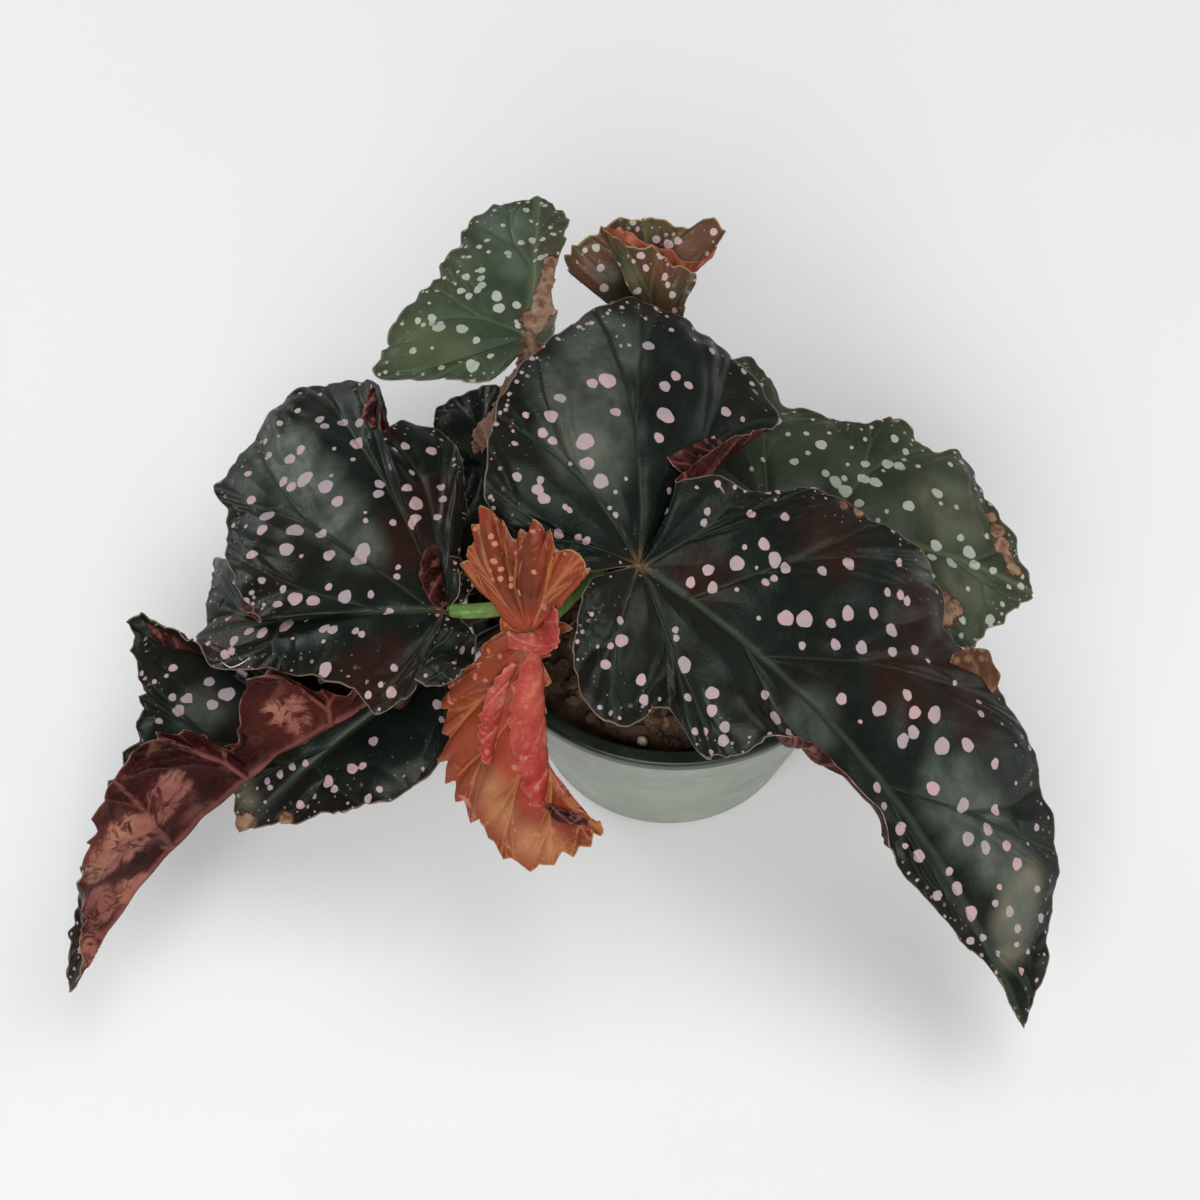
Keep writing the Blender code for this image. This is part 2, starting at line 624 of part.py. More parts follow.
def half_blade(leaf, ribs, side):
    """Points of one half, rows by places across; side is 1 for left and -1 for right."""
    rows = rib_rows(ribs)
    paths = []
    for start, angle, reach, rise, droop, turn, roll in rows:
        place, axes = midrib_point(leaf, start)
        paths.append((place, axes, side * angle, side * turn, rise, droop, roll, reach))
    margin = np.array([p + bent_path(x, a, t, r, d, o, n)[-1]
                       for p, x, a, t, r, d, o, n in paths])
    along = np.append(0, np.cumsum(np.linalg.norm(np.diff(margin, axis=0), axis=1)))
    grid = []
    for (place, axes, angle, turn, rise, droop, roll, reach), run in zip(paths, along):
        if reach > 3:
            reach += SCALLOP * (abs(math.sin(math.pi * run / SCALLOP_PITCH)) - 0.6)
        line = bent_path(axes, angle, turn, rise, droop, roll, reach)
        row = []
        for share in ACROSS:
            x = share * BEND_STEPS
            i = min(int(x), BEND_STEPS - 1)
            point = place + line[i] * (1 - x + i) + line[i + 1] * (x - i)
            wave = RUFFLE * share ** 3 * min(reach / 20, 1)
            row.append(point + axes[2] * wave * math.sin(2 * math.pi * run / RUFFLE_PITCH))
        grid.append(row)
    return np.array(grid)


def make_leaf(name, where):
    leaf = LEAVES[name]
    sheet = bmesh.new()
    for ribs, side in ((leaf["left"], 1), (leaf["right"], -1)):
        grid = half_blade(leaf, ribs, side)
        corners = [[sheet.verts.new(Vector(p) * MM) for p in row] for row in grid]
        for i in range(len(grid) - 1):
            for j in range(len(ACROSS) - 1):
                a, b = corners[i][j], corners[i + 1][j]
                c, d = corners[i + 1][j + 1], corners[i][j + 1]
                quad = (a, b, c, d) if side > 0 else (a, d, c, b)
                sheet.faces.new((quad[0], quad[1], quad[2]))
                sheet.faces.new((quad[0], quad[2], quad[3]))
    bmesh.ops.remove_doubles(sheet, verts=sheet.verts, dist=0.05 * MM)
    mesh = bpy.data.meshes.new(name)
    sheet.to_mesh(mesh)
    sheet.free()
    dark, fresh = (0.02, 0.035, 0.025), (0.42, 0.1, 0.04)
    finish = material(name + "_skin", fresh if name == "leaf_young" else dark, 0.35)
    blade = add_object(name, mesh, where, finish)
    thick = blade.modifiers.new("blade", "SOLIDIFY")
    thick.thickness = BLADE * MM
    thick.offset = 0
    return blade


def make_dried_strip(where):
    """The crumpled dead strip, joined to the blade that it hangs from."""
    route = smooth_route(STRIP, 2)
    sheet = bmesh.new()
    rows = []
    for i, place in enumerate(route):
        ahead = route[min(i + 1, len(route) - 1)] - route[max(i - 1, 0)]
        across = np.cross(ahead, (0, -0.5, 0.86))
        across /= np.linalg.norm(across)
        lift = np.cross(across, ahead)
        lift /= np.linalg.norm(lift)
        width = STRIP_WIDTH * (0.6 + 0.25 * math.sin(1.7 * i + 0.5))
        row = []
        for k, share in enumerate((-0.5, 0, 0.5)):
            bump = STRIP_CRUMPLE * math.sin(1.9 * i + 2.6 * k)
            row.append(sheet.verts.new(Vector(place + across * width * share
                                              + lift * bump) * MM))
        rows.append(row)
    for a, b in zip(rows, rows[1:]):
        for k in range(2):
            sheet.faces.new((a[k], a[k + 1], b[k + 1]))
            sheet.faces.new((a[k], b[k + 1], b[k]))
    mesh = bpy.data.meshes.new("dried_strip")
    sheet.to_mesh(mesh)
    sheet.free()
    strip = add_object("dried_strip", mesh, where)
    thick = strip.modifiers.new("strip", "SOLIDIFY")
    thick.thickness = BLADE * MM
    thick.offset = 0
    applied(strip)
    hide(strip)
    return strip


def main():
    clear_scene()
    plant = new_collection("potted_begonia")
    helpers = new_collection("cutters")
    make_outer_pot(plant)
    make_grow_pot(plant, helpers)
    make_potting_mix(plant, helpers)
    make_prill(plant)
    for name in CANES:
        make_cane(name, plant)
    for name in LEAVES:
        make_leaf(name, plant)
    join = bpy.data.objects["leaf_back_left"].modifiers.new("dried", "BOOLEAN")
    join.operation = "UNION"
    join.object = make_dried_strip(helpers)


main()
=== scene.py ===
"""The looks of the potted begonia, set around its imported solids.

The leaves keep the form of the solids: the same ribs, swept at a finer step, with toothed
margins, quilted panels between the veins, a thin rim, and separate skins above and below.
Lengths are in millimetres and angles in degrees until a mesh is made.
"""
import math

import bpy
import numpy as np
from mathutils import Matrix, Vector
from mathutils.bvhtree import BVHTree
from mathutils.kdtree import KDTree


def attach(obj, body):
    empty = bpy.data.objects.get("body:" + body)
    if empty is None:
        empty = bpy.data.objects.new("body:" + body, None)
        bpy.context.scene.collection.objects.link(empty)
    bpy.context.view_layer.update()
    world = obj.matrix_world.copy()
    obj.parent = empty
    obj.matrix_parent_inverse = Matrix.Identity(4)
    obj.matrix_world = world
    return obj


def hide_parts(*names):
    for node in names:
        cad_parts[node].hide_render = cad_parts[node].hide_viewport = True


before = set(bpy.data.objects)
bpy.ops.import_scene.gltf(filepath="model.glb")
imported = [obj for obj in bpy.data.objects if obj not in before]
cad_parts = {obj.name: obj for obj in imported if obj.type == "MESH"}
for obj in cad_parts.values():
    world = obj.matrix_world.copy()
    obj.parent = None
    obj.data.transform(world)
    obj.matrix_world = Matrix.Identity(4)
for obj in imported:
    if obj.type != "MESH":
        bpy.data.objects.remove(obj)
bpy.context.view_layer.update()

MM = 0.001
ROOT = "root"

# Camera, fitted to the photograph's square frame of 1200 pixels
FRAME_PX = 1200
FOCAL_PX = 2400.0
LOOK_AT = np.array([-19.4, 0.0, 62.9])
DISTANCE = 644.4
ELEVATION = 60.4

# Light
WALL_LIGHT = (0.32, 0.345, 0.335)
CEILING_LIGHT = (0.08, 0.08, 0.09)
# Each lamp's place, what it aims at and its size, in metres, and its power
LAMPS = {
    "key": ((-0.35, -1.5, 1.5), (0, 0, 0.08), (1.5, 1.1), 30),
    "top": ((0.5, 0.1, 1.9), (0, 0, 0.08), (1.2, 1.2), 16),
    "window_left": ((-0.95, 0.75, 0.45), (-0.05, 0, 0.1), (0.55, 0.35), 3.4),
    "window_right": ((1.2, -0.2, 0.3), (0.08, 0, 0.08), (0.45, 0.35), 1.7),
}

# Pots
RIM_RADIUS = 55.0
POT_HEIGHT = 75.0
BASE_RADIUS = 37.5
OUTER_WALL = 2.0
FLOOR_THICKNESS = 3.0
LIP_HEIGHT = 4.0
LIP_WIDTH = 5.0
INNER_WALL = 1.2
FIT = 0.3
DRAIN_RADIUS = 3.0
DRAIN_RING = 20.0
DRAIN_COUNT = 6
TURN_SIDES = 144

# Soil
SOIL_TOP = 66.0
SOIL_LUMP = 1.2
CHIPS = 330
CRUMBS = 900
FIBRES = 90
PRILL_RADIUS = 1.5
PRILL_AT = (-8.5, -44.0)
PRILL_ROOM = 3.6

# Stems
CANE_RADIUS = 3.0
PETIOLE_RADIUS = 2.1
STEM_VOXEL = 0.6
STEM_SIDES = 20
# Where a cane is ringed, as shares of its length, and how wide a ring is
CANE_RINGS = (0.42, 0.6, 0.78, 0.92)
RING_WIDTH = 0.018

# Leaf blades: scallops and ruffles of the margin, thickness, and how far apart the main
# veins end. Teeth have their full size on ribs that are longer than FULL_TEETH, and their
# tip at TOOTH_TIP of their width.
SCALLOP = 1.0
SCALLOP_PITCH = 13.0
RUFFLE = 0.9
RUFFLE_PITCH = 31.0
THICK_MIDDLE = 0.6
THICK_MARGIN = 0.28
VEIN_PITCH = 42.0
FULL_TEETH = 14
TOOTH_TIP = 0.68

# Steps along a plain rib, rows drawn from one rib to the next, the number of values in a
# rib, and the number of rows that can share a point near the junction
BEND_STEPS = 24
SAMPLES = 20
RIB_VALUES = 7
GROUP = 8

# More than any distance on a blade
FAR = 99.0

# Small swellings of a blade; the frill is (height, width) at the margin
RIPPLE_HEIGHT = 0.16
FRILL = (0.22, 2.5)
PANEL_WIDTH = 5.5
SMALL_PANEL_WIDTH = 1.8

# Veins in a leaf's skins: depth and width of the grooves above, height and width of the
# ridges below, and what these lose over their reach
MAIN_GROOVE = (0.28, 0.75)
MINOR_GROOVE = (0.08, 0.4)
MAIN_RIDGE = (0.75, 0.9)
MAIN_RIDGE_LOSS = (0.45, 0.35)
MINOR_RIDGE = (0.25, 0.5)
RIDGE_REACH = 70

# Picks on the photograph: how near a point must be in pixels, and how much deeper in
# millimetres than the nearest one it may lie
PICK_PX = 4
PICK_DEPTH = 4.0

# Spots where the camera sees nothing: tries, the gap between spots, and how far behind
# another surface a point counts as hidden
SPOT_TRIES = 900
SPOT_GAP = 6.5
HIDDEN_BY = 2.0

# Every leaf: where the stalk meets it, the heading, pitch and roll it sets off with, its
# midrib (length, droop, sideways sweep) and the ribs of its left and right halves from the
# notch round to the tip. A rib is (start along midrib, angle to it, reach, rise at its root,
# rise at the margin, sideways turn, roll of the last stretch); the last two may be left out.
LEAVES = {
    "leaf_front_right": dict(
        at=(-10, -24, 122), set_off=(-26, -22, 0), midrib=(160, -24, -26),
        left=[
            (0, 220, 13, 4, -8), (0, 200, 28, 8, -14), (0, 190, 40, 10, -16),
            (0, 170, 48, 12, -18), (0, 152, 57, 12, -20), (0, 134, 66, 12, -22),
            (0, 115, 78, 12, -25), (0, 100, 75, 8, -25), (0, 92, 72, 2, -20, -10),
            (0, 86, 63, -4, -12, -20), (0, 83, 38, 12, 4, 6), (0, 80, 23, 24, 8, 36),
            (0, 77, 29, 24, -4, 14), (0, 71, 38, 16, -6, -14), (0.03, 62, 51, 12, -10),
            (0.06, 55, 62, 10, -12), (0.12, 47, 72, 10, -18), (0.17, 40, 69, 8, -22),
            (0.25, 39, 71, 8, -18), (0.42, 39, 64, 5, -15), (0.58, 39, 52, 2, -12),
            (0.78, 44, 28, 0, -5), (1, 20, 0, 0, 0),
        ],
        right=[
            (0, 130, 13, 4, -8), (0, 112, 20, 6, -10), (0, 97, 28, 8, -14),
            (0, 83, 37, 8, -16), (0, 70, 41, 6, -16), (0, 55, 36, 6, -16),
            (0, 46, 36, 6, -20), (0, 42, 48, 6, -16), (0.03, 37, 47, 6, -20),
            (0.08, 29, 42, 6, -10, 0, 60), (0.16, 28, 39, 6, -20, 0, 170),
            (0.26, 25, 31, 6, -20, 0, 170), (0.36, 22, 29, 6, -20, 0, 120),
            (0.5, 23, 25, 2, -14), (0.68, 19, 19, 0, -10), (0.85, 10, 8, 0, -5),
            (1, 20, 0, 0, 0),
        ],
    ),
    "leaf_left": dict(
        at=(-58, -23, 98), set_off=(175, -8, 0), midrib=(72, -24, 0),
        left=[
            (0, 112, 4, 4, -8), (0, 82, 11, 6, -10), (0, 76, 21, 6, -14), (0, 70, 26, 6, -14),
            (0.05, 68, 30, 6, -14), (0.14, 62, 25, 6, -12), (0.3, 60, 21, 8, -4),
            (0.5, 55, 18, 6, -4), (0.75, 50, 14, 2, -6), (1, 20, 0, 0, 0),
        ],
        right=[
            (0, 140, 5, 20, 50), (0, 100, 12, 12, -6), (0, 93, 23, 8, -8), (0, 91, 34, 8, -10),
            (0, 88, 46, 8, -12), (0, 84, 54, 8, -14), (0, 78, 59, 8, -14),
            (0, 72, 62, 8, -14), (0, 68, 58, 6, 0, -4), (0, 66, 73, 4, -4, 6),
            (0, 62, 86, 6, -16), (0, 56, 92, 6, -18), (0.02, 48, 88, 6, -18),
            (0.04, 41, 83, 6, -18), (0.08, 33, 78, 6, -18), (0.12, 31, 66, 8, -16),
            (0.18, 25, 57, 8, -14), (0.24, 13, 41, 10, -6), (0.3, -5, 27, 14, 0),
            (0.42, 28, 40, -6, -24), (0.5, 37, 56, -8, -26), (0.62, 31, 34, -4, -20),
            (0.8, 22, 14, 0, -14), (1, 20, 0, 0, 0),
        ],
    ),
    "leaf_folded": dict(
        at=(-71, -36, 79), set_off=(199, -10, 6), midrib=(120, -32, 30),
        left=[
            (0, 120, 5, 60, 80), (0.08, 90, 6, 90, 100), (0.14, 90, 11, 90, 115),
            (0.17, 90, 21, 90, 115), (0.21, 90, 26, 90, 115), (0.28, 90, 21, 90, 115),
            (0.34, 90, 11, 90, 115), (0.38, 90, 24, 90, 115), (0.43, 90, 33, 85, 110),
            (0.48, 90, 35, 80, 105), (0.58, 90, 33, 75, 100), (0.69, 90, 25, 70, 95),
            (0.82, 90, 12, 60, 90), (1, 20, 0, 0, 0),
        ],
        right=[
            (0, 120, 6, 20, 10), (0, 90, 10, 16, 8), (0.03, 70, 18, 10, 0),
            (0.08, 66, 31, 8, -6), (0.12, 60, 38, 8, -10), (0.18, 62, 47, 8, -12, 0, 110),
            (0.26, 71, 62, 10, -8, 0, 110), (0.34, 70, 43, 20, 0), (0.5, 90, 27, 30, 15),
            (0.6, 90, 20, 40, 30), (0.67, 90, 16, 36, 24), (0.78, 90, 14, 16, 0),
            (0.9, 70, 7, 0, -10), (1, 20, 0, 0, 0),
        ],
    ),
    "leaf_low_left": dict(
        at=(-61, -26, 72), set_off=(212, -8, 0), midrib=(70, -34, 0),
        left=[
            (0, 146, 6, 14, 10), (0, 134, 17, 18, 12), (0, 120, 19, 14, 6),
            (0, 102, 16, 8, -4), (0, 80, 15, 4, -8), (0, 66, 21, 4, -14),
            (0.04, 62, 25, 4, -14), (0.12, 61, 26, 4, -14), (0.26, 63, 24, 4, -14),
            (0.42, 63, 20, 4, -12), (0.56, 58, 15, 3, -10), (0.7, 50, 11, 2, -8),
            (0.85, 39, 5, 0, -4), (1, 20, 0, 0, 0),
        ],
        right=[
            (0, 148, 7, 14, 10), (0, 136, 20, 18, 12), (0, 118, 22, 14, 4),
            (0, 94, 23, 8, -6), (0, 64, 29, 4, -10),
            (0.05, 50, 36, 4, -12), (0.15, 39, 38, 4, -14), (0.3, 33, 36, 4, -14),
            (0.5, 28, 29, 4, -12), (0.7, 24, 19, 2, -8), (0.88, 25, 8, 0, -4),
            (1, 20, 0, 0, 0),
        ],
    ),
    "leaf_young": dict(
        at=(-36, -37, 112), set_off=(-121, -50, 0), midrib=(57, 14, 95),
        left=[
            (0, 152, 8, 10, 0), (0, 130, 10, 10, -10), (0.05, 106, 5, 10, -10),
            (0.2, 86, 6, 10, -10), (0.32, 45, 6, 10, -10), (0.45, 20, 6, 10, -10),
            (0.6, 10, 6, 10, -10), (0.75, 10, 5, 10, 0), (0.88, 10, 2, 10, 0),
            (1, 20, 0, 0, 0),
        ],
        right=[
            (0, 205, 12, 20, 10), (0, 203, 24, 30, 10), (0, 200, 31, 35, 5),
            (0, 182, 30, 40, 0), (0, 172, 34, 42, -5), (0, 158, 28, 42, -5),
            (0, 147, 35, 42, -10), (0, 130, 28, 42, -15), (0, 114, 22, 40, -20),
            (0, 95, 9, 30, -30), (0, 45, 14, 20, -30), (0.04, 39, 29, 10, -25),
            (0.12, 38, 32, 5, -20), (0.24, 44, 34, 0, -16), (0.36, 47, 34, 0, -14),
            (0.48, 48, 30, 0, -10), (0.6, 47, 28, 0, -6), (0.74, 48, 17, 0, 0),
            (0.86, 52, 9, 0, 0), (1, 20, 0, 0, 0),
        ],
    ),
    "leaf_back_left": dict(
        at=(-38, 46, 118), set_off=(88, 4, 0), midrib=(52, -20, 0),
        left=[
            (0, 156, 4, 4, 0), (0, 150, 11, 6, -6), (0, 143, 17, 6, -10),
            (0, 124, 21, 6, -10), (0, 113, 30, 4, -12), (0, 107, 40, 4, -14),
            (0, 95, 38, 4, -14), (0.02, 80, 35, 5, -14), (0.06, 65, 30, 5, -14),
            (0.12, 52, 30, 5, -14), (0.22, 41, 30, 5, -14), (0.36, 33, 28, 4, -12),
            (0.6, 25, 19, 3, -8), (0.82, 23, 8, 0, -4), (1, 20, 0, 0, 0),
        ],
        right=[
            (0, 110, 5, 4, 0), (0, 70, 8, 10, 30), (0.06, 42, 10, 10, 30),
            (0.2, 34, 11, 6, 10), (0.4, 34, 15, 4, 0), (0.6, 41, 13, 2, -4),
            (0.8, 48, 8, 0, -4), (1, 20, 0, 0, 0),
        ],
    ),
    "leaf_curled": dict(
        at=(-4, 58, 102), set_off=(99, 42, 0), midrib=(32, 10, 0),
        left=[
            (0, 70, 5, 4, 0), (0, 50, 14, 4, -10), (0, 46, 30, 4, -10), (0.1, 42, 30, 4, -8),
            (0.25, 36, 26, 4, -6), (0.5, 26, 18, 2, -4), (0.75, 22, 9, 0, 0),
            (1, 20, 0, 0, 0),
        ],
        right=[
            (0, 100, 4, 50, 10), (0, 46, 11, 50, 10), (0, 36, 20, 50, 10), (0, 29, 23, 50, 5),
            (0, 11, 24, 50, 5), (0, -1, 29, 50, 5), (0, -15, 31, 45, 5), (0, -21, 38, 40, 10),
            (0.1, 2, 23, 25, 10), (0.2, 41, 17, 15, 10), (0.3, 55, 21, 10, 10),
            (0.42, 58, 24, 0, 0), (0.55, 52, 20, 0, -4), (0.72, 62, 11, 0, -4),
            (0.86, 62, 6, 0, 0), (1, 20, 0, 0, 0),
        ],
    ),
    "leaf_right": dict(
        at=(23, 16, 86), set_off=(-10, -6, 0), midrib=(80, -24, 0),
        left=[
            (0, 195, 6, 4, -6), (0, 157, 19, 4, -8), (0, 130, 31, 4, -10),
            (0, 113, 42, 4, -12), (0, 102, 50, 4, -14), (0.04, 94, 36, 4, -14),
            (0.08, 84, 35, 4, -14), (0.14, 72, 35, 4, -14), (0.22, 67, 44, 4, -16),
            (0.34, 64, 37, 4, -16), (0.46, 63, 39, 4, -16), (0.58, 58, 30, 3, -12),
            (0.74, 55, 19, 2, -8), (0.88, 47, 9, 0, -4), (1, 20, 0, 0, 0),
        ],
        right=[
            (0, 135, 6, 4, -6), (0, 100, 18, 6, -6), (0, 77, 26, 8, -6),
            (0.05, 64, 32, 8, -6), (0.14, 55, 35, 8, -8), (0.28, 48, 36, 8, -10),
            (0.42, 40, 37, 6, -14), (0.58, 31, 27, 3, -12), (0.78, 21, 15, 0, -6),
            (1, 20, 0, 0, 0),
        ],
    ),
    "leaf_inner": dict(
        at=(-35, 19, 80), set_off=(137, 2, 0), midrib=(41, -12, 0),
        left=[
            (0, 115, 7, 8, 0), (0, 107, 25, 10, 2), (0.05, 102, 36, 10, 2),
            (0.15, 89, 29, 8, -4), (0.3, 77, 18, 5, -10), (0.5, 59, 11, 3, -10),
            (0.75, 42, 7, 0, -6), (1, 20, 0, 0, 0),
        ],
        right=[
            (0, 100, 4, 4, -4), (0, 61, 15, 4, -6), (0, 45, 28, 4, -8),
            (0.08, 36, 35, 4, -10), (0.2, 31, 36, 4, -10), (0.4, 26, 29, 4, -8),
            (0.65, 23, 19, 2, -6), (0.85, 22, 10, 0, -3), (1, 20, 0, 0, 0),
        ],
    ),
}

# How each leaf's surface is finished: mesh pitch, teeth (pitch, depth), how far the panels
# between veins swell (main, minor), and the names of its two skins. Some leaves have a
# vein pitch and a full size of teeth of their own.
FINISH = {
    "leaf_front_right": dict(pitch=0.97, teeth=(6.0, 0.7), quilt=(0.9, 0.3), skins=("dark", "red")),
    "leaf_left": dict(pitch=0.95, teeth=(7.0, 1.2), quilt=(0.8, 0.3), skins=("dark", "red")),
    "leaf_folded": dict(pitch=0.95, teeth=(7.0, 3.6), quilt=(2.0, 0.6), skins=("dark", "red")),
    "leaf_low_left": dict(pitch=0.8, teeth=(5.0, 0.8), quilt=(1.0, 0.3), skins=("dark", "red")),
    "leaf_young": dict(pitch=0.6, teeth=(6.0, 4.6), quilt=(1.0, 0.4), skins=("young", "young_under"),
                       vein_pitch=17, full_teeth=5),
    "leaf_back_left": dict(pitch=0.8, teeth=(6.5, 1.7), quilt=(1.0, 0.3), skins=("green", "red")),
    "leaf_curled": dict(pitch=0.75, teeth=(5.0, 1.6), quilt=(0.8, 0.3), skins=("curled", "orange"),
                        vein_pitch=26),
    "leaf_right": dict(pitch=0.86, teeth=(7.0, 1.8), quilt=(1.1, 0.3), skins=("olive", "red")),
    "leaf_inner": dict(pitch=0.9, teeth=(5.0, 0.8), quilt=(0.8, 0.3), skins=("dark", "red")),
}

# Stems: the route of each cane from the soil up, then of the stalks that grow from it,
# each ending under the leaf that it carries.
CANES = {
    "cane_left": dict(
        route=[(-15, -1, 42), (-16, -2, 54), (-17, -3, 66), (-19, -6, 84), (-21, -10, 96),
               (-22, -12, 102)],
        stalks={
            "leaf_left": [(-20, -9, 92), (-30, -17, 96), (-44, -22, 97.5)],
            "leaf_folded": [(-18, -5, 80), (-30, -12, 88), (-46, -17, 88), (-60, -24, 86)],
            "leaf_low_left": [(-17, -5, 76), (-32, -13, 80), (-48, -20, 79)],
            "leaf_young": [(-21, -11, 98), (-26, -22, 105)],
            "leaf_inner": [(-18, -4, 75), (-26, 9, 76)],
        },
    ),
    "cane_right": dict(
        route=[(2, 6, 42), (1.5, 6, 54), (1, 6, 66), (-1, 6, 84), (-2, 6, 96), (-3, 7, 103)],
        stalks={
            "leaf_front_right": [(-2, 5, 97), (-5, -6, 108), (-9, -18, 115)],
            "leaf_right": [(0, 6, 76), (13, 12, 79)],
            "leaf_curled": [(-1, 7, 88), (-3, 30, 93), (-3, 48, 96)],
            "leaf_back_left": [(-2, 7, 94), (-14, 28, 104), (-28, 46, 110)],
        },
    ),
}
# Stalks that stay green (the rest are dark brown, partly painted shade), and those that meet their leaf
# in its notch, from behind
GREEN_STALKS = ("leaf_left", "leaf_front_right", "leaf_young")
NOTCH_JOINTS = ("leaf_left", "leaf_low_left")

# The dead part of the back left leaf: a dry crumpled strip that hangs from its junction
STRIP = [(-36, 47, 119), (-39, 41, 116), (-42, 38, 108), (-46, 38, 98), (-50, 34, 92),
         (-52, 31, 88)]
STRIP_WIDTH = 7.0
STRIP_THICKNESS = 0.35


# Mesh helpers
def added(name, data):
    """A new object of the scene with this data."""
    made = bpy.data.objects.new(name, data)
    bpy.context.scene.collection.objects.link(made)
    return made


def shade_smooth(mesh, smooth=True):
    mesh.polygons.foreach_set("use_smooth", [smooth] * len(mesh.polygons))


def mesh_object(name, points, faces, finishes, which=None, smooth=True):
    """An object from points in millimetres; which gives each face's place in finishes."""
    made = bpy.data.meshes.new(name)
    made.from_pydata(np.asarray(points, float) * MM, [], [tuple(f) for f in faces])
    for finish in finishes:
        made.materials.append(finish)
    if which is not None:
        made.polygons.foreach_set("material_index", np.asarray(which, np.int32))
    shade_smooth(made, smooth)
    made.update()
    return added(name, made)


def put_field(mesh, name, values, kind="FLOAT"):
    """A value for every point of a mesh, for its material to read."""
    layer = mesh.attributes.new(name, kind, "POINT")
    key = "vector" if kind == "FLOAT_VECTOR" else "value"
    layer.data.foreach_set(key, np.asarray(values, np.float32).ravel())


def modify(target, kind, **settings):
    """Gives the object a modifier with these settings."""
    made = target.modifiers.new(kind.lower(), kind)
    for key, value in settings.items():
        setattr(made, key, value)


def applied(target):
    """Swaps the object's mesh for the one that its modifiers give."""
    graph = bpy.context.evaluated_depsgraph_get()
    mesh = bpy.data.meshes.new_from_object(target.evaluated_get(graph))
    target.modifiers.clear()
    target.data = mesh


def place_piece(piece, nodes):
    """Rides the piece on the pot's body and lets it stand for its solids."""
    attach(piece, ROOT)
    if nodes:
        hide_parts(*nodes)


def smoothstep(low, high, value):
    t = np.clip((value - low) / (high - low), 0, 1)
    return t * t * (3 - 2 * t)


def smooth_route(points, steps):
    """A smooth curve through the given points, with this many steps from one to the next."""
    points = np.array(points, float)
    ends = np.vstack([2 * points[0] - points[1], points, 2 * points[-1] - points[-2]])
    out = []
    for a, b, c, d in zip(ends, ends[1:], ends[2:], ends[3:]):
        for t in np.arange(steps) / steps:
            out.append(0.5 * (2 * b + (c - a) * t + (2 * a - 5 * b + 4 * c - d) * t * t
                              + (3 * b - a - 3 * c + d) * t ** 3))
    return np.array(out + [points[-1]])


def steps_between(places):
    return np.linalg.norm(np.diff(places, axis=0), axis=1)


def along_route(route):
    """Unit vectors along a route at its points."""
    along = np.gradient(route, axis=0)
    return along / np.linalg.norm(along, axis=1)[:, None]


def ringed_faces(rings, sides, split=False):
    """Faces round a first point, rings of points and a last point; split halves the quads."""
    faces = []
    last = 1 + (rings - 1) * sides
    for s in range(sides):
        n = (s + 1) % sides
        faces += [(0, 1 + s, 1 + n), (last + sides, last + n, last + s)]
        for a, b in ((1 + r * sides + s, 1 + r * sides + n) for r in range(rings - 1)):
            quad = (a, a + sides, b + sides, b)
            faces += [quad[:3], (a, b + sides, b)] if split else [quad]
    return faces


def joined(parts):
    """Points and faces of several parts as those of one mesh."""
    points, faces, base = [], [], 0
    for part, part_faces in parts:
        points.append(part)
        faces += [tuple(i + base for i in face) for face in part_faces]
        base += len(part)
    return np.vstack(points), faces


def swept(route, radii, sides):
    """Points and faces of a round bar along a route, closed at both ends."""
    along = along_route(route)
    side = np.cross(along[0], (0.3, 0.2, 0.9))
    turn = 2 * np.pi * np.arange(sides)[:, None] / sides
    rings = []
    for place, way, radius in zip(route, along, radii):
        side = side - way * (side @ way)
        side /= np.linalg.norm(side)
        rings.append(place + radius * (np.cos(turn) * side + np.sin(turn) * np.cross(way, side)))
    first = route[0] - 0.4 * along[0] * radii[0]
    last = route[-1] + 0.4 * along[-1] * radii[-1]
    faces = [(*others, start) for start, *others in ringed_faces(len(route), sides)]
    return np.vstack([last, *rings[::-1], first]), faces


# Camera
def camera_axes():
    """Place of the camera and its unit vectors ahead, right and up."""
    e = math.radians(ELEVATION)
    ahead = np.array([0, math.cos(e), -math.sin(e)])
    right = np.array([1.0, 0, 0])
    return LOOK_AT - DISTANCE * ahead, ahead, right, np.cross(right, ahead)


def in_picture(points):
    """Pixel columns, pixel rows and depths of points, as the camera sees them."""
    place, ahead, right, up = camera_axes()
    rel = np.asarray(points, float) - place
    deep = rel @ ahead
    middle = FRAME_PX / 2
    return middle + FOCAL_PX * (rel @ right) / deep, middle - FOCAL_PX * (rel @ up) / deep, deep


# Leaf form
def turn_about(axis, degrees):
    """The matrix that turns by this angle about an axis."""
    a = math.radians(degrees)
    x, y, z = np.asarray(axis) / np.linalg.norm(axis)
    k = np.array([[0, -z, y], [z, 0, -x], [-y, x, 0]])
    return np.eye(3) + math.sin(a) * k + (1 - math.cos(a)) * k @ k


def frame_of(heading, pitch, roll):
    """Unit vectors along, to the left of and out of a leaf that sets off this way."""
    h, p = math.radians(heading), math.radians(pitch)
    along = np.array([math.cos(h) * math.cos(p), math.sin(h) * math.cos(p), math.sin(p)])
    left = np.array([-math.sin(h), math.cos(h), 0.0])
    rolled = turn_about(along, roll)
    return np.stack([along, rolled @ left, rolled @ np.cross(along, left)])


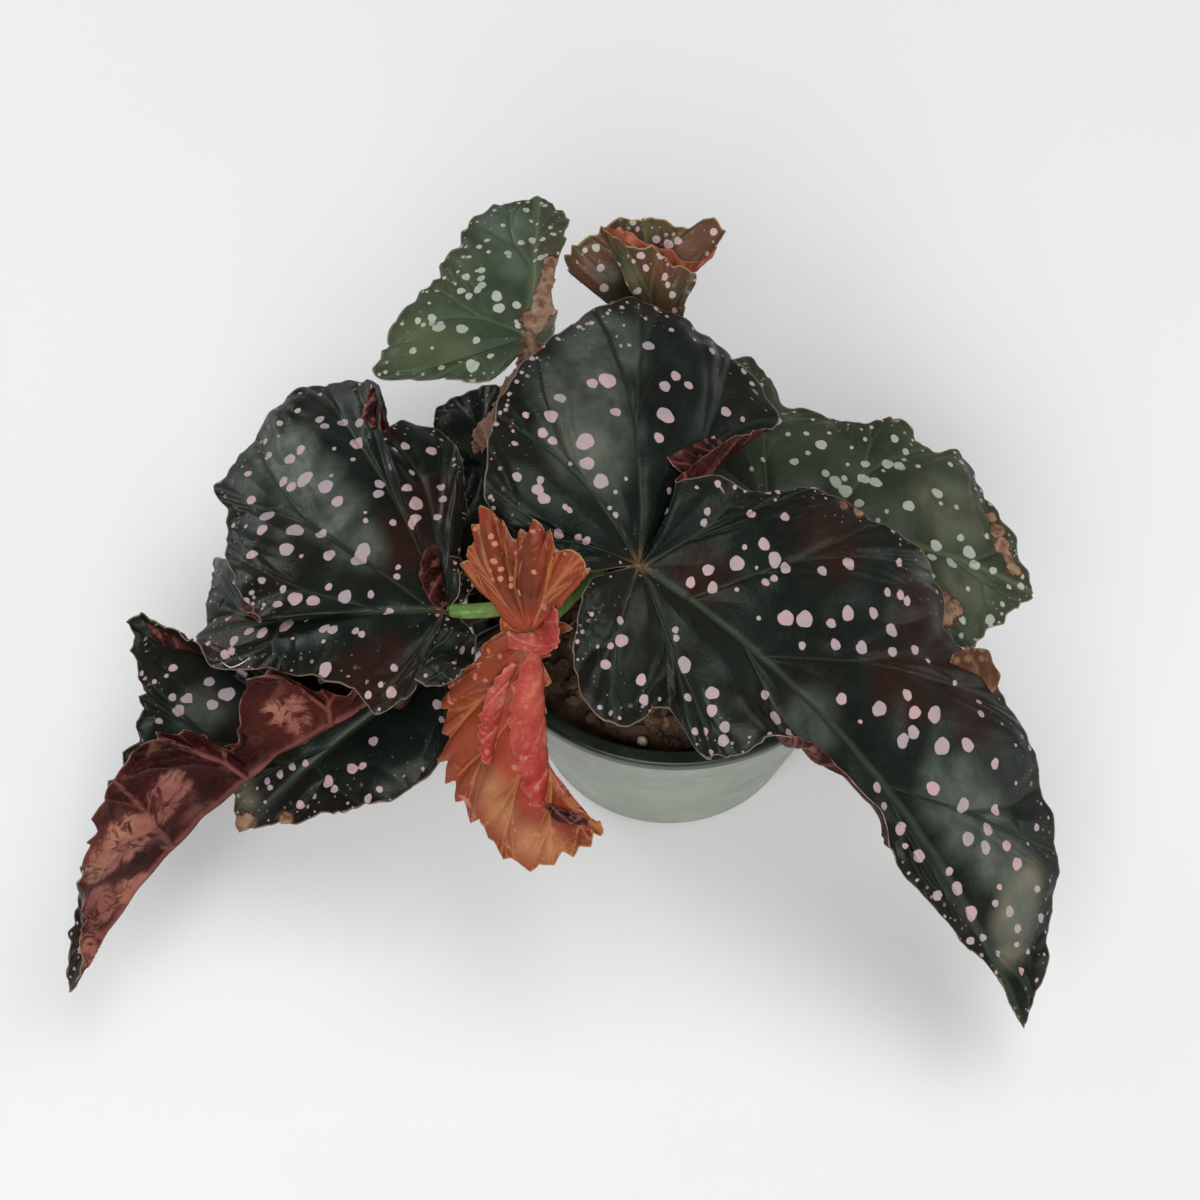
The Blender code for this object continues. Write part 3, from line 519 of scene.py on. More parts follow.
def bent_paths(axes, angle, turn, rise, droop, roll, length, steps):
    """Lines that leave at an angle and bend, sideways and up or down: (lines, steps + 1, 3)."""
    s = (np.arange(steps) + 0.5) / steps
    side = np.radians(angle[:, None] + turn[:, None] * s)
    lift = np.radians(rise[:, None] + (droop - rise)[:, None] * s + roll[:, None] * s ** 6)
    step = ((np.cos(lift) * np.cos(side))[..., None] * axes[:, None, 0]
            + (np.cos(lift) * np.sin(side))[..., None] * axes[:, None, 1]
            + np.sin(lift)[..., None] * axes[:, None, 2])
    lines = np.cumsum(step, 1) * length[:, None, None] / steps
    return np.concatenate([np.zeros((len(lines), 1, 3)), lines], 1)


def midrib_points(leaf, shares):
    """Places and axes of a leaf at shares of its midrib."""
    first = frame_of(*leaf["set_off"])
    length, droop, sweep = leaf["midrib"]
    one = np.ones(1)
    fine = BEND_STEPS * 8
    path = bent_paths(first[None], 0 * one, sweep * one, 0 * one, droop * one, 0 * one,
                      length * one, fine)[0] + np.array(leaf["at"], float)
    at = np.asarray(shares) * fine
    places = np.stack([np.interp(at, np.arange(fine + 1), path[:, k]) for k in range(3)], 1)
    axes = []
    for share in shares:
        swept_axes = first @ turn_about(first[2], sweep * share).T
        axes.append(swept_axes @ turn_about(swept_axes[1], -droop * share).T)
    return places, np.array(axes)


def rib_samples(ribs):
    """The ribs of one half, smoothed to many rows, and the number of intervals that are palmate."""
    full = np.array([list(r) + [0] * (RIB_VALUES - len(r)) for r in ribs], float)
    return smooth_route(full, SAMPLES), int(np.sum(full[:, 0] == 0)) - 1


def up_to_group(count):
    """The count, rounded up to whole groups."""
    return max(GROUP, int(math.ceil(count / GROUP)) * GROUP)


def sweep_rows(leaf, rows, side, steps):
    """Points along every row of one half, and the leaf's axes where each row starts."""
    places, axes = midrib_points(leaf, rows[:, 0])
    lines = bent_paths(axes, side * rows[:, 1], side * rows[:, 5], rows[:, 3], rows[:, 4],
                       rows[:, 6], rows[:, 2], steps)
    return places[:, None] + lines, axes


def later_rows(rows, palmate, shares):
    """Rows of one half that start at these shares of the midrib."""
    rest = rows[palmate * SAMPLES:]
    start = np.maximum.accumulate(np.clip(rest[:, 0], 0, 1)) + 1e-9 * np.arange(len(rest))
    later = np.stack([np.interp(shares, start, rest[:, k]) for k in range(RIB_VALUES)], 1)
    later[:, 0] = shares
    return later


def midrib_shares(leaf, pitch):
    """Shares of the midrib with a row on both halves, so that no gap passes the pitch."""
    fine = np.linspace(0, 1, 600)
    cost = leaf["midrib"][0] * np.diff(fine)
    for side, half in ((1, "left"), (-1, "right")):
        rows, palmate = rib_samples(leaf[half])
        margin = sweep_rows(leaf, later_rows(rows, palmate, fine), side, BEND_STEPS)[0][:, -1]
        cost = np.maximum(cost, steps_between(margin))
    run = np.append(0, np.cumsum(cost))
    return np.interp(np.linspace(0, run[-1], int(run[-1] / pitch) + 2), run, fine)[1:]


def even_rows(leaf, ribs, side, pitch):
    """Rows of one half at an even pitch along the margin, and how many of them are palmate."""
    rows, palmate = rib_samples(ribs)
    first = rows[:palmate * SAMPLES + 1].copy()
    first[:, 0] = 0
    margin = sweep_rows(leaf, first, side, BEND_STEPS)[0][:, -1]
    run = np.append(0, np.cumsum(steps_between(margin)))
    count = up_to_group(run[-1] / pitch)
    wanted = np.linspace(0, run[-1], count + 1)
    first = np.stack([np.interp(wanted, run, first[:, k]) for k in range(RIB_VALUES)], 1)
    both = np.vstack([first, later_rows(rows, palmate, leaf["shares"])])
    both[:, 2] = np.maximum(both[:, 2], 0)
    return both, count


def tooth_line(run, pitch, depth, draw):
    """How far the margin stands out at each distance along it: teeth of uneven size."""
    widths = pitch * draw.uniform(0.55, 1.45, int(run[-1] / pitch * 2) + 6)
    ends = np.cumsum(widths) - 2 * pitch
    sizes = draw.uniform(0.25, 1.0, len(ends))
    which = np.clip(np.searchsorted(ends, run), 1, len(ends) - 1)
    t = (run - ends[which - 1]) / (ends[which] - ends[which - 1])
    t = np.clip(t, 0, 1)
    saw = np.minimum(t / TOOTH_TIP, (1 - t) / (1 - TOOTH_TIP))
    return depth * sizes[which] * (saw ** 1.2 - 0.4)


class Half:
    """One half of a blade as a grid of points: rows round the margin, columns out to it."""

    def __init__(self, leaf, side, finish, draw):
        pitch = finish["pitch"]
        rows, self.palmate = even_rows(leaf, leaf["left" if side > 0 else "right"], side, pitch)
        self.side = side
        self.vein_pitch = finish.get("vein_pitch", VEIN_PITCH)
        self.columns = max(10, int(rows[:, 2].max() / (pitch * 1.15)))
        self.share = np.arange(self.columns + 1) / self.columns
        plain, _ = sweep_rows(leaf, rows, side, BEND_STEPS)
        self.run = np.append(0, np.cumsum(steps_between(plain[:, -1])))
        self.add_teeth(rows, finish, draw)
        reach = rows[:, 2:3]
        grid, axes = sweep_rows(leaf, rows, side, self.columns * 2)
        wave = RUFFLE * self.share ** 3 * np.minimum(reach / 20, 1)
        wave = wave * np.sin(2 * np.pi * self.run / RUFFLE_PITCH)[:, None]
        self.grid = grid[:, ::2] + wave[..., None] * axes[:, None, 2]
        self.out = reach * self.share
        turned = np.radians(rows[:, 1:2])
        self.chart = np.stack([rows[:, :1] * leaf["midrib"][0] + self.out * np.cos(turned),
                               side * self.out * np.sin(turned)], -1)
        steps = np.linalg.norm(np.diff(self.grid, axis=0), axis=2)
        self.arc = np.vstack([np.zeros(self.columns + 1), np.cumsum(steps, 0)])
        self.edge = np.minimum(reach * (1 - self.share), self.arc)

    def add_teeth(self, rows, finish, draw):
        """Scallops and teeth along the margin, smaller where the ribs are short."""
        reach = rows[:, 2]
        wide = reach > 3
        reach[wide] += SCALLOP * (np.abs(np.sin(np.pi * self.run[wide] / SCALLOP_PITCH)) - 0.6)
        fade = np.minimum(reach / finish.get("full_teeth", FULL_TEETH), 1)
        fade[-6:] *= np.linspace(1, 0, 6)
        reach += fade * tooth_line(self.run, *finish["teeth"], draw)
        rows[:, 2] = np.maximum(reach, 0)

    def vein_rows(self, draw):
        """Row of each main vein at the margin, evenly spread along it, none at its ends."""
        last = self.run[-1]
        count = max(2, int(round(last / self.vein_pitch)))
        wanted = (np.arange(count) + 0.6 + draw.uniform(-0.12, 0.12, count)) * last / count
        return np.interp(wanted, self.run, np.arange(len(self.run))), len(self.run) / count

    def vein_fields(self, draw):
        """Distance to the nearest main vein and to the nearest vein of any kind, in mm."""
        centres, gap = self.vein_rows(draw)
        main = np.full(self.grid.shape[:2], FAR)
        minor = main.copy()
        index = np.arange(len(self.run))
        for centre in centres:
            fork = draw.uniform(0.3, 0.5)
            split = np.clip((self.share - fork) / (1 - fork), 0, 1) ** 1.2
            bow = gap * 0.12 * draw.uniform(-1, 1) * np.sin(np.pi * self.share)
            for way in (-1, 1):
                line = centre + bow + way * gap * 0.24 * split
                self.nearer(main, index, line)
                second = np.clip((self.share - 0.66) / 0.34, 0, 1) ** 1.2
                for turn in (-1, 1):
                    self.nearer(minor, index, line + turn * gap * 0.12 * second)
            for start in (0.3, 0.5, 0.7):
                way = draw.choice((-1, 1))
                t = np.clip((self.share - start) / (1 - start), 0, 1)
                rib = centre + bow + way * gap * 0.5 * t ** 0.8
                rib[self.share < start] = -1e4
                self.nearer(minor, index, rib)
        return main, np.minimum(main, minor)

    def nearer(self, field, index, line):
        """Lowers the field to the distance from a vein that runs at a row for each column."""
        for j, row in enumerate(line):
            if -1 < row < len(index):
                at = np.interp(row, index, self.arc[:, j])
                np.minimum(field[:, j], np.abs(self.arc[:, j] - at), out=field[:, j])

    def step_at(self, column, palmate):
        """How many rows apart the points are at a column: fewer towards the junction."""
        if not palmate:
            return 1
        share = column / self.columns
        return 1 if share >= 0.5 else 2 if share >= 0.25 else 4 if share >= 0.125 else 8

    def triangles(self, ids):
        """Faces of the half from its points' numbers, turned to face up."""
        found = []
        blocks = ((0, self.palmate, True), (self.palmate, len(ids) - 1, False))
        for low, high, palmate in blocks:
            for j in range(self.columns):
                inner, outer = self.step_at(j, palmate), self.step_at(j + 1, palmate)
                i = np.arange(low, high, inner)
                a, b = ids[i, j], ids[i + inner, j]
                d, c = ids[i, j + 1], ids[i + inner, j + 1]
                if inner == outer:
                    found += [np.stack([a, b, c], 1), np.stack([a, c, d], 1)]
                else:
                    m = ids[i + outer, j + 1]
                    found += [np.stack([a, m, d], 1), np.stack([a, b, m], 1),
                              np.stack([b, c, m], 1)]
        faces = np.vstack(found)
        whole = ((faces[:, 0] != faces[:, 1]) & (faces[:, 1] != faces[:, 2])
                 & (faces[:, 0] != faces[:, 2]))
        faces = faces[whole]
        return faces if self.side > 0 else faces[:, ::-1]


def vein_line(away, height, width):
    """Height above the blade at a distance from a vein, falling off over its width."""
    return height * np.exp(-(away / width) ** 2)


def point_normals(points, faces):
    corners = points[faces]
    flat = np.cross(corners[:, 1] - corners[:, 0], corners[:, 2] - corners[:, 0])
    out = np.zeros_like(points)
    for k in range(3):
        np.add.at(out, faces[:, k], flat)
    return out / np.maximum(np.linalg.norm(out, axis=1), 1e-9)[:, None]


# A triangle's new faces, for each choice of its three edges that are cut: its corners are
# numbers 0 to 2, and the middles of its edges 3 to 5
SPLITS = {
    (False, False, False): [(0, 1, 2)],
    (True, True, True): [(0, 3, 5), (3, 1, 4), (5, 4, 2), (3, 4, 5)],
    (True, False, False): [(0, 3, 2), (3, 1, 2)],
    (True, True, False): [(3, 1, 4), (0, 3, 4), (0, 4, 2)],
}


class Blade:
    """The middle surface of a leaf, with what its skins need to know at every point."""

    def __init__(self, name, number):
        leaf, self.finish = dict(LEAVES[name]), FINISH[name]
        leaf["shares"] = midrib_shares(leaf, self.finish["pitch"])
        self.name, self.joint = name, np.array(leaf["at"], float)
        self.draw = np.random.default_rng(100 + number)
        self.join([Half(leaf, side, self.finish, self.draw) for side in (1, -1)])
        near = np.full(len(self.points), FAR)
        for place in midrib_points(leaf, np.linspace(0, 1, 400))[0]:
            np.minimum(near, np.linalg.norm(self.points - place, axis=1), out=near)
        self.fields["midrib"] = near
        self.fields["core"] = np.linalg.norm(self.points - self.joint, axis=1)
        self.shape()
        self.picture = in_picture(self.points)
        self.coarse, self.coarse_count = self.faces, len(self.points)

    def join(self, halves):
        """Makes one mesh of the two halves, which share the points of the midrib."""
        size = sum(half.edge.size for half in halves)
        self.points, self.chart = np.zeros((size, 3)), np.zeros((size, 3))
        self.fields = {key: np.zeros(size) for key in ("edge", "main", "minor", "out")}
        faces, base, shared = [], 0, None
        for half in halves:
            ids = base + np.arange(half.edge.size).reshape(half.edge.shape)
            self.fields["edge"][ids], self.fields["out"][ids] = half.edge, half.out
            self.fields["main"][ids], self.fields["minor"][ids] = half.vein_fields(self.draw)
            self.points[ids] = half.grid
            self.chart[ids, :2] = half.chart
            if shared is None:
                shared = ids[half.palmate:, 0].copy()
            ids[half.palmate:, 0] = shared
            ids[:half.palmate + 1, 0] = shared[0]
            ids[-1, :] = shared[-1]
            faces.append(half.triangles(ids))
            base += half.edge.size
        used, packed = np.unique(np.vstack(faces), return_inverse=True)
        self.faces = packed.reshape(-1, 3)
        self.points, self.chart = self.points[used], self.chart[used]
        self.fields = {key: value[used] for key, value in self.fields.items()}

    def shape(self):
        """Swells the panels between the veins and unsettles the margin a little."""
        main, minor, edge = (self.fields[k] for k in ("main", "minor", "edge"))
        main = np.minimum(main, self.fields["midrib"])
        minor = np.minimum(minor, main)
        swell, ripple = self.finish["quilt"]
        near_edge = 0.35 + 0.65 * smoothstep(0, 7, edge)
        lift = swell * (1 - vein_line(main, 1, PANEL_WIDTH)) * near_edge
        lift += ripple * (1 - vein_line(minor, 1, SMALL_PANEL_WIDTH))
        wander = self.draw.uniform(0, 6.28, 6)
        x, y = self.chart[:, 0], self.chart[:, 1]
        lift += RIPPLE_HEIGHT * np.sin(x / 2.1 + wander[0] + np.sin(y / 3.3 + wander[1]))
        lift += RIPPLE_HEIGHT * np.sin(y / 2.4 + wander[2] + np.sin(x / 3.9 + wander[3]))
        frill = np.sin(x / 1.7 + y / 2.3 + wander[4]) + np.sin(y / 1.9 - x / 2.9 + wander[5])
        lift += FRILL[0] * frill * np.exp(-edge / FRILL[1])
        normals = point_normals(self.points, self.faces)
        self.points = self.points + normals * lift[:, None]
        self.normals = point_normals(self.points, self.faces)
        self.veins = main, minor

    def nearest(self, column, row):
        """The point of the blade that the camera sees at a pixel, or None."""
        x, y, deep = self.picture
        off = np.hypot(x - column, y - row)
        near = np.flatnonzero(off < PICK_PX)
        if not len(near):
            return None
        front = near[deep[near] < deep[near].min() + PICK_DEPTH]
        return front[np.argmin(off[front])]

    def picked(self, line):
        """The points of the blade that the camera sees along a line of pixels."""
        numbers = [self.nearest(*place) for place in line]
        return [number for number in numbers if number is not None]

    def refine(self, near):
        """Splits the upper skin's edges where near is true, leaving the margin's own."""
        faces = self.faces
        ways = np.sort(np.concatenate([faces[:, [0, 1]], faces[:, [1, 2]], faces[:, [2, 0]]]), axis=1)
        edges, which, times = np.unique(ways, axis=0, return_inverse=True, return_counts=True)
        split = (times == 2) & (near[edges[:, 0]] | near[edges[:, 1]])
        number = np.full(len(edges), -1)
        number[split] = len(self.points) + np.arange(split.sum())
        a, b = edges[split].T
        self.points = np.vstack([self.points, (self.points[a] + self.points[b]) / 2])
        self.chart = np.vstack([self.chart, (self.chart[a] + self.chart[b]) / 2])
        turned = self.normals[a] + self.normals[b]
        turned /= np.linalg.norm(turned, axis=1)[:, None]
        self.normals = np.vstack([self.normals, turned])
        for key, value in self.fields.items():
            self.fields[key] = np.append(value, (value[a] + value[b]) / 2)
        self.veins = [np.append(value, (value[a] + value[b]) / 2) for value in self.veins]
        middle = number[which.reshape(3, -1)].T
        found = []
        for turn in range(3):
            six = np.hstack([np.roll(faces, -turn, 1), np.roll(middle, -turn, 1)])
            for cut, ways in SPLITS.items():
                if turn and len(set(cut)) == 1:
                    continue
                alike = (six[:, 3:] >= 0) == np.array(cut)
                found += [six[alike.all(1)][:, way] for way in ways]
        self.faces = np.vstack(found)


def round_marks(blade, marks, seed, cap=3.0):
    """How far each point is inside the nearest round mark, in mm: below 0 is outside.

    A mark is (point number, radius, stretch along the blade)."""
    draw = np.random.default_rng(seed)
    inside = np.full(len(blade.points), -cap)
    for number, radius, stretch in marks:
        centre, normal = blade.points[number], blade.normals[number]
        out = centre - blade.joint
        out = out - normal * (out @ normal)
        out /= max(np.linalg.norm(out), 1e-6)
        across = np.cross(normal, out)
        rel = blade.points - centre
        close = (np.linalg.norm(rel, axis=1) < radius * 2 + cap)
        close &= np.hypot(*(blade.chart - blade.chart[number]).T[:2]) < 9 + 2 * radius
        rel = rel[close]
        u, v = rel @ out / stretch, rel @ across * stretch
        w = rel @ normal
        angle = np.arctan2(v, u)
        phase = draw.uniform(0, 6.28, 3)
        rim = radius * (1 + 0.07 * np.sin(2 * angle + phase[0])
                        + 0.05 * np.sin(3 * angle + phase[1])
                        + 0.03 * np.sin(5 * angle + phase[2]))
        depth = rim - np.sqrt(u * u + v * v + w * w)
        inside[close] = np.maximum(inside[close], depth)
    return inside


# Materials
class Skin:
    """Short calls for the nodes of one material."""

    def __init__(self, name, **settings):
        self.material = bpy.data.materials.new(name)
        self.material.use_nodes = True
        self.tree = self.material.node_tree
        self.shader = self.tree.nodes["Principled BSDF"]
        for socket, value in settings.items():
            self.shader.inputs[socket.replace("_", " ")].default_value = value
        self.here = None

    def node(self, kind, inputs=None, **settings):
        made = self.tree.nodes.new(kind)
        for key, value in settings.items():
            setattr(made, key, value)
        for key, value in (inputs or {}).items():
            self.feed(made.inputs[key], value)
        return made

    def feed(self, socket, value):
        if isinstance(value, bpy.types.NodeSocket):
            self.tree.links.new(value, socket)
        elif isinstance(value, tuple) and len(value) == 3 and socket.type == "RGBA":
            socket.default_value = (*value, 1)
        else:
            socket.default_value = value

    def give(self, **sockets):
        for socket, value in sockets.items():
            self.feed(self.shader.inputs[socket.replace("_", " ")], value)

    def field(self, name):
        return self.node("ShaderNodeAttribute", attribute_name=name).outputs["Fac"]

    def sheet(self):
        """Millimetres along and across the flattened blade."""
        return self.node("ShaderNodeAttribute", attribute_name="sheet").outputs["Vector"]

    def space(self):
        """Millimetres in the part's own frame."""
        if self.here is None:
            place = self.node("ShaderNodeTexCoord").outputs["Object"]
            grow = self.node("ShaderNodeVectorMath", {0: place, "Scale": 1 / MM}, operation="SCALE")
            self.here = grow.outputs[0]
        return self.here

    def math(self, operation, first, *more):
        for value in more:
            made = self.node("ShaderNodeMath", {0: first, 1: value}, operation=operation)
            first = made.outputs[0]
        return first

    def times(self, *values):
        return self.math("MULTIPLY", *values)

    def most(self, *values):
        return self.math("MAXIMUM", *values)

    def plus(self, *values):
        return self.math("ADD", *values)

    def span(self, value, low, high, first, last, ease="LINEAR"):
        """First to last as the value goes from low to high."""
        made = self.node("ShaderNodeMapRange", {"Value": value, "From Min": low, "From Max": high,
                                                "To Min": first, "To Max": last},
                         interpolation_type=ease, clamp=True)
        return made.outputs["Result"]

    def fade(self, value, low, high):
        """0 to 1 as the value goes from low to high, with soft ends."""
        return self.span(value, low, high, 0.0, 1.0, "SMOOTHSTEP")

    def mix(self, share, a, b):
        made = self.node("ShaderNodeMix", {"Factor": share, 6: a, 7: b}, data_type="RGBA")
        return made.outputs[2]

    def over(self, body, colour, *shares):
        """The body's colour with another laid over it by the product of the shares."""
        return self.mix(self.times(*shares), body, colour)

    def noise(self, place, size, detail=3.0, rough=0.55, warp=0.0):
        """Noise whose lumps are about size millimetres across."""
        made = self.node("ShaderNodeTexNoise", {"Vector": place, "Scale": 1 / size, "Detail": detail,
                                                "Roughness": rough, "Distortion": warp})
        return made.outputs["Fac"]

    def cells(self, place, size, feature="F1", jitter=1.0, dimensions="3D"):
        return self.node("ShaderNodeTexVoronoi", {"Vector": place, "Scale": 1 / size,
                                                  "Randomness": jitter},
                         feature=feature, voronoi_dimensions=dimensions)

    def raise_by(self, height, depth):
        """A bump of this depth in millimetres."""
        made = self.node("ShaderNodeBump", {"Height": height, "Distance": depth * MM})
        self.give(Normal=made.outputs["Normal"])


def dots(skin, sheet, size, share, low, high):
    """Small round dots, one in some of the cells: 1 inside a dot."""
    cell = skin.cells(sheet, size, jitter=0.8, dimensions="2D")
    pick = skin.node("ShaderNodeSeparateColor", {0: cell.outputs["Color"]}).outputs[0]
    radius = skin.span(pick, 1 - share, 1.0, low / size, high / size)
    inside = skin.math("SUBTRACT", radius, cell.outputs["Distance"])
    return skin.times(skin.fade(inside, -0.02, 0.03), skin.math("GREATER_THAN", pick, 1 - share))


def vein_net(skin, sheet, size):
    """1 along the fine net of veins."""
    bent = skin.node("ShaderNodeTexNoise", {"Vector": sheet, "Scale": 1 / (size * 1.4), "Detail": 1.0})
    moved = skin.node("ShaderNodeVectorMath", {0: bent.outputs["Color"], "Scale": size * 0.8},
                      operation="SCALE")
    place = skin.node("ShaderNodeVectorMath", {0: sheet, 1: moved.outputs[0]}, operation="ADD")
    edges = skin.cells(place.outputs[0], size, "DISTANCE_TO_EDGE", dimensions="2D")
    return skin.fade(edges.outputs["Distance"], 0.09, 0.0)


def upper_skin(name, deep, light, vein, spot, rim, blush=(0.03, 0.007, 0.005), rough=0.32,
               painted_sheen=(0.07, 0.082, 0.066), gold=(0.15, 0.135, 0.07), blush_share=0.35,
               dot_share=0.5, vein_share=0.8, gloss=0.26, flush_share=0.6, inner_dots=0.0,
               minor_share=0.3, crinkle=1.0):
    """The spotted upper face of a leaf."""
    skin = Skin(name, Roughness=rough, IOR=1.45, Specular_IOR_Level=gloss)
    skin.shader.inputs["Specular Tint"].default_value = (0.84, 1.0, 0.86, 1)
    sheet = skin.sheet()
    broad, fine = skin.noise(sheet, 22.0, 2.0), skin.noise(sheet, 2.2, 4.0)
    edge, core = skin.field("edge"), skin.field("core")
    main, minor, midrib = skin.field("main"), skin.field("minor"), skin.field("midrib")
    body = skin.mix(skin.fade(broad, 0.35, 0.7), deep, light)
    body = skin.mix(skin.span(fine, 0.3, 0.75, 0.0, 0.35), body, light)

    # Red flush, yellowing with painted tan highlights, and a painted sheen on the panels between the
    # veins
    cloud = skin.times(skin.fade(skin.noise(sheet, 34.0, 2.0), 0.45, 0.72), blush_share)
    warm = skin.most(cloud, skin.times(skin.fade(edge, 9.0, 0.0), blush_share), skin.field("flush"))
    body = skin.over(body, blush, warm, flush_share)
    # Yellowing, and on the front right leaf a painted tan highlight
    body = skin.over(body, gold, skin.field("gold"), 0.7)
    # Painted sheen: a paler grey-green laid on the panels between the veins where the leaf shines
    panel = skin.fade(skin.math("MINIMUM", main, midrib), 0.3, 1.0)
    cloudy = skin.span(skin.noise(sheet, 6.0, 4.0), 0.3, 0.65, 0.35, 1.0)
    body = skin.over(body, painted_sheen, skin.field("bloom"), panel, cloudy)

    # Veins, and the brown star where they meet
    net = vein_net(skin, sheet, 3.0)
    lines = skin.most(skin.times(skin.fade(minor, 0.4, 0.1), minor_share),
                      skin.times(skin.fade(main, 0.8, 0.1), 0.65), skin.fade(midrib, 1.7, 0.4))
    body = skin.over(body, vein, lines, vein_share)
    star = skin.times(skin.fade(core, 6.0, 1.0), skin.fade(main, 1.2, 0.2))
    body = skin.over(body, (0.14, 0.06, 0.028), skin.most(star, skin.fade(core, 2.4, 0.8)), 0.55)

    # Spots: the large ones, then smaller ones towards the margin
    large = skin.fade(skin.field("spot"), -0.1, 0.12)
    small = skin.times(dots(skin, sheet, 3.1, dot_share, 0.25, 0.62), skin.fade(edge, 6.5, 1.5),
                       skin.fade(edge, 0.3, 0.9))
    tiny = skin.times(dots(skin, sheet, 2.3, dot_share * 0.45, 0.14, 0.28),
                      skin.span(edge, 1.0, 14.0, 0.8, 0.0))
    inner = dots(skin, sheet, 5.5, inner_dots, 0.5, 1.15)
    marks = skin.most(large, small, tiny, inner)
    pale, grey = spot
    tint = skin.mix(skin.fade(skin.noise(sheet, 16.0, 1.0), 0.35, 0.65), pale, grey)
    tint = skin.mix(skin.span(fine, 0.35, 0.7, 0.0, 0.3), tint, grey)
    body = skin.over(body, tint, marks, 0.95)
    body = skin.over(body, rim, skin.fade(edge, 0.5, 0.2), 0.7)

    # Dead tissue with a dark border
    ragged = skin.span(skin.noise(sheet, 5.0, 6.0, 0.65, 0.8), 0.3, 0.7, 0.3, 1.9)
    crisp = skin.times(skin.field("dry"), ragged)
    straw = skin.mix(skin.fade(skin.noise(sheet, 3.0, 5.0), 0.3, 0.7), (0.11, 0.045, 0.024),
                     (0.32, 0.2, 0.125))
    body = skin.over(body, (0.06, 0.025, 0.012), skin.fade(crisp, 0.2, 0.35))
    body = skin.over(body, straw, skin.fade(crisp, 0.4, 0.55))

    grain = skin.math("SUBTRACT", 1.0, skin.cells(sheet, 0.6, dimensions="2D").outputs["Distance"])
    crease = skin.noise(sheet, 4.5, 4.0, 0.55, 0.6)
    skin.raise_by(skin.plus(skin.times(grain, 0.2), skin.times(net, -0.15), fine,
                            skin.times(large, 0.4), skin.times(crease, crinkle)), 0.08)
    dull = skin.span(fine, 0.3, 0.7, rough - 0.05, rough + 0.08)
    skin.give(Base_Color=body, Roughness=skin.plus(dull, skin.times(marks, 0.12)))
    return skin.material


def under_skin(name, deep, light, vein, pale, rough=0.5, pale_share=0.5, gloss=0.25,
               brick=(0.17, 0.035, 0.017), vein_share=0.5):
    """The red lower face of a leaf, with raised pink veins and tan clouds."""
    skin = Skin(name, Roughness=rough, IOR=1.42, Specular_IOR_Level=gloss)
    skin.shader.inputs["Specular Tint"].default_value = (1.0, 0.7, 0.66, 1)
    sheet = skin.sheet()
    broad = skin.noise(sheet, 18.0, 3.0)
    main, minor, midrib = skin.field("main"), skin.field("minor"), skin.field("midrib")
    edge = skin.field("edge")
    body = skin.mix(skin.fade(broad, 0.35, 0.68), deep, light)
    body = skin.over(body, brick, skin.field("flush"), 0.8)
    halo = skin.most(skin.fade(main, 3.0, 0.3), skin.fade(midrib, 3.0, 0.3))
    streak = skin.span(skin.noise(sheet, 5.0, 4.0, 0.6, 0.5), 0.45, 0.75, 0.0, 0.45)
    body = skin.over(body, vein, halo, streak)
    cloud = skin.times(skin.fade(skin.noise(sheet, 11.0, 4.0, 0.5, 0.6), 0.54, 0.7),
                       skin.fade(main, 0.6, 2.6), pale_share)
    # Tan patches, the leaf's own colour; on the upper faces the same zones give a painted sheen
    ragged = skin.span(skin.noise(sheet, 6.0, 7.0, 0.72, 1.6), 0.36, 0.64, 0.1, 1.7)
    patch = skin.fade(skin.times(skin.field("bloom"), ragged), 0.22, 0.95)
    tan = skin.mix(skin.fade(broad, 0.4, 0.6), pale, vein)
    body = skin.over(body, tan, skin.most(cloud, skin.times(patch, 0.85)))
    body = skin.over(body, pale, skin.fade(skin.field("spot"), -0.3, 0.3), 0.3)
    net = vein_net(skin, sheet, 2.8)
    lines = skin.most(skin.fade(midrib, 1.4, 0.4), skin.fade(main, 0.8, 0.15),
                      skin.times(skin.fade(minor, 0.5, 0.1), 0.5), skin.times(net, 0.1))
    body = skin.over(body, vein, lines, vein_share)
    body = skin.over(body, vein, skin.fade(edge, 0.6, 0.2), 0.25)
    body = skin.over(body, (0.26, 0.15, 0.08), skin.fade(skin.field("dry"), 0.4, 0.6))
    crease = skin.noise(sheet, 4.5, 4.0, 0.55, 0.6)
    skin.raise_by(skin.plus(skin.noise(sheet, 1.3, 4.0), skin.times(net, 0.7),
                            skin.times(crease, 4.0)), 0.1)
    skin.give(Base_Color=body, Roughness=skin.span(broad, 0.3, 0.7, rough - 0.06, rough + 0.1))
    return skin.material


def rim_skin(name, colour):
    """The cut-looking thin margin of a blade."""
    skin = Skin(name, Roughness=0.5)
    grain = skin.noise(skin.sheet(), 1.6, 3.0)
    dark = tuple(c * 0.35 for c in colour)
    skin.give(Base_Color=skin.mix(skin.fade(grain, 0.35, 0.65), dark, colour))
    return skin.material


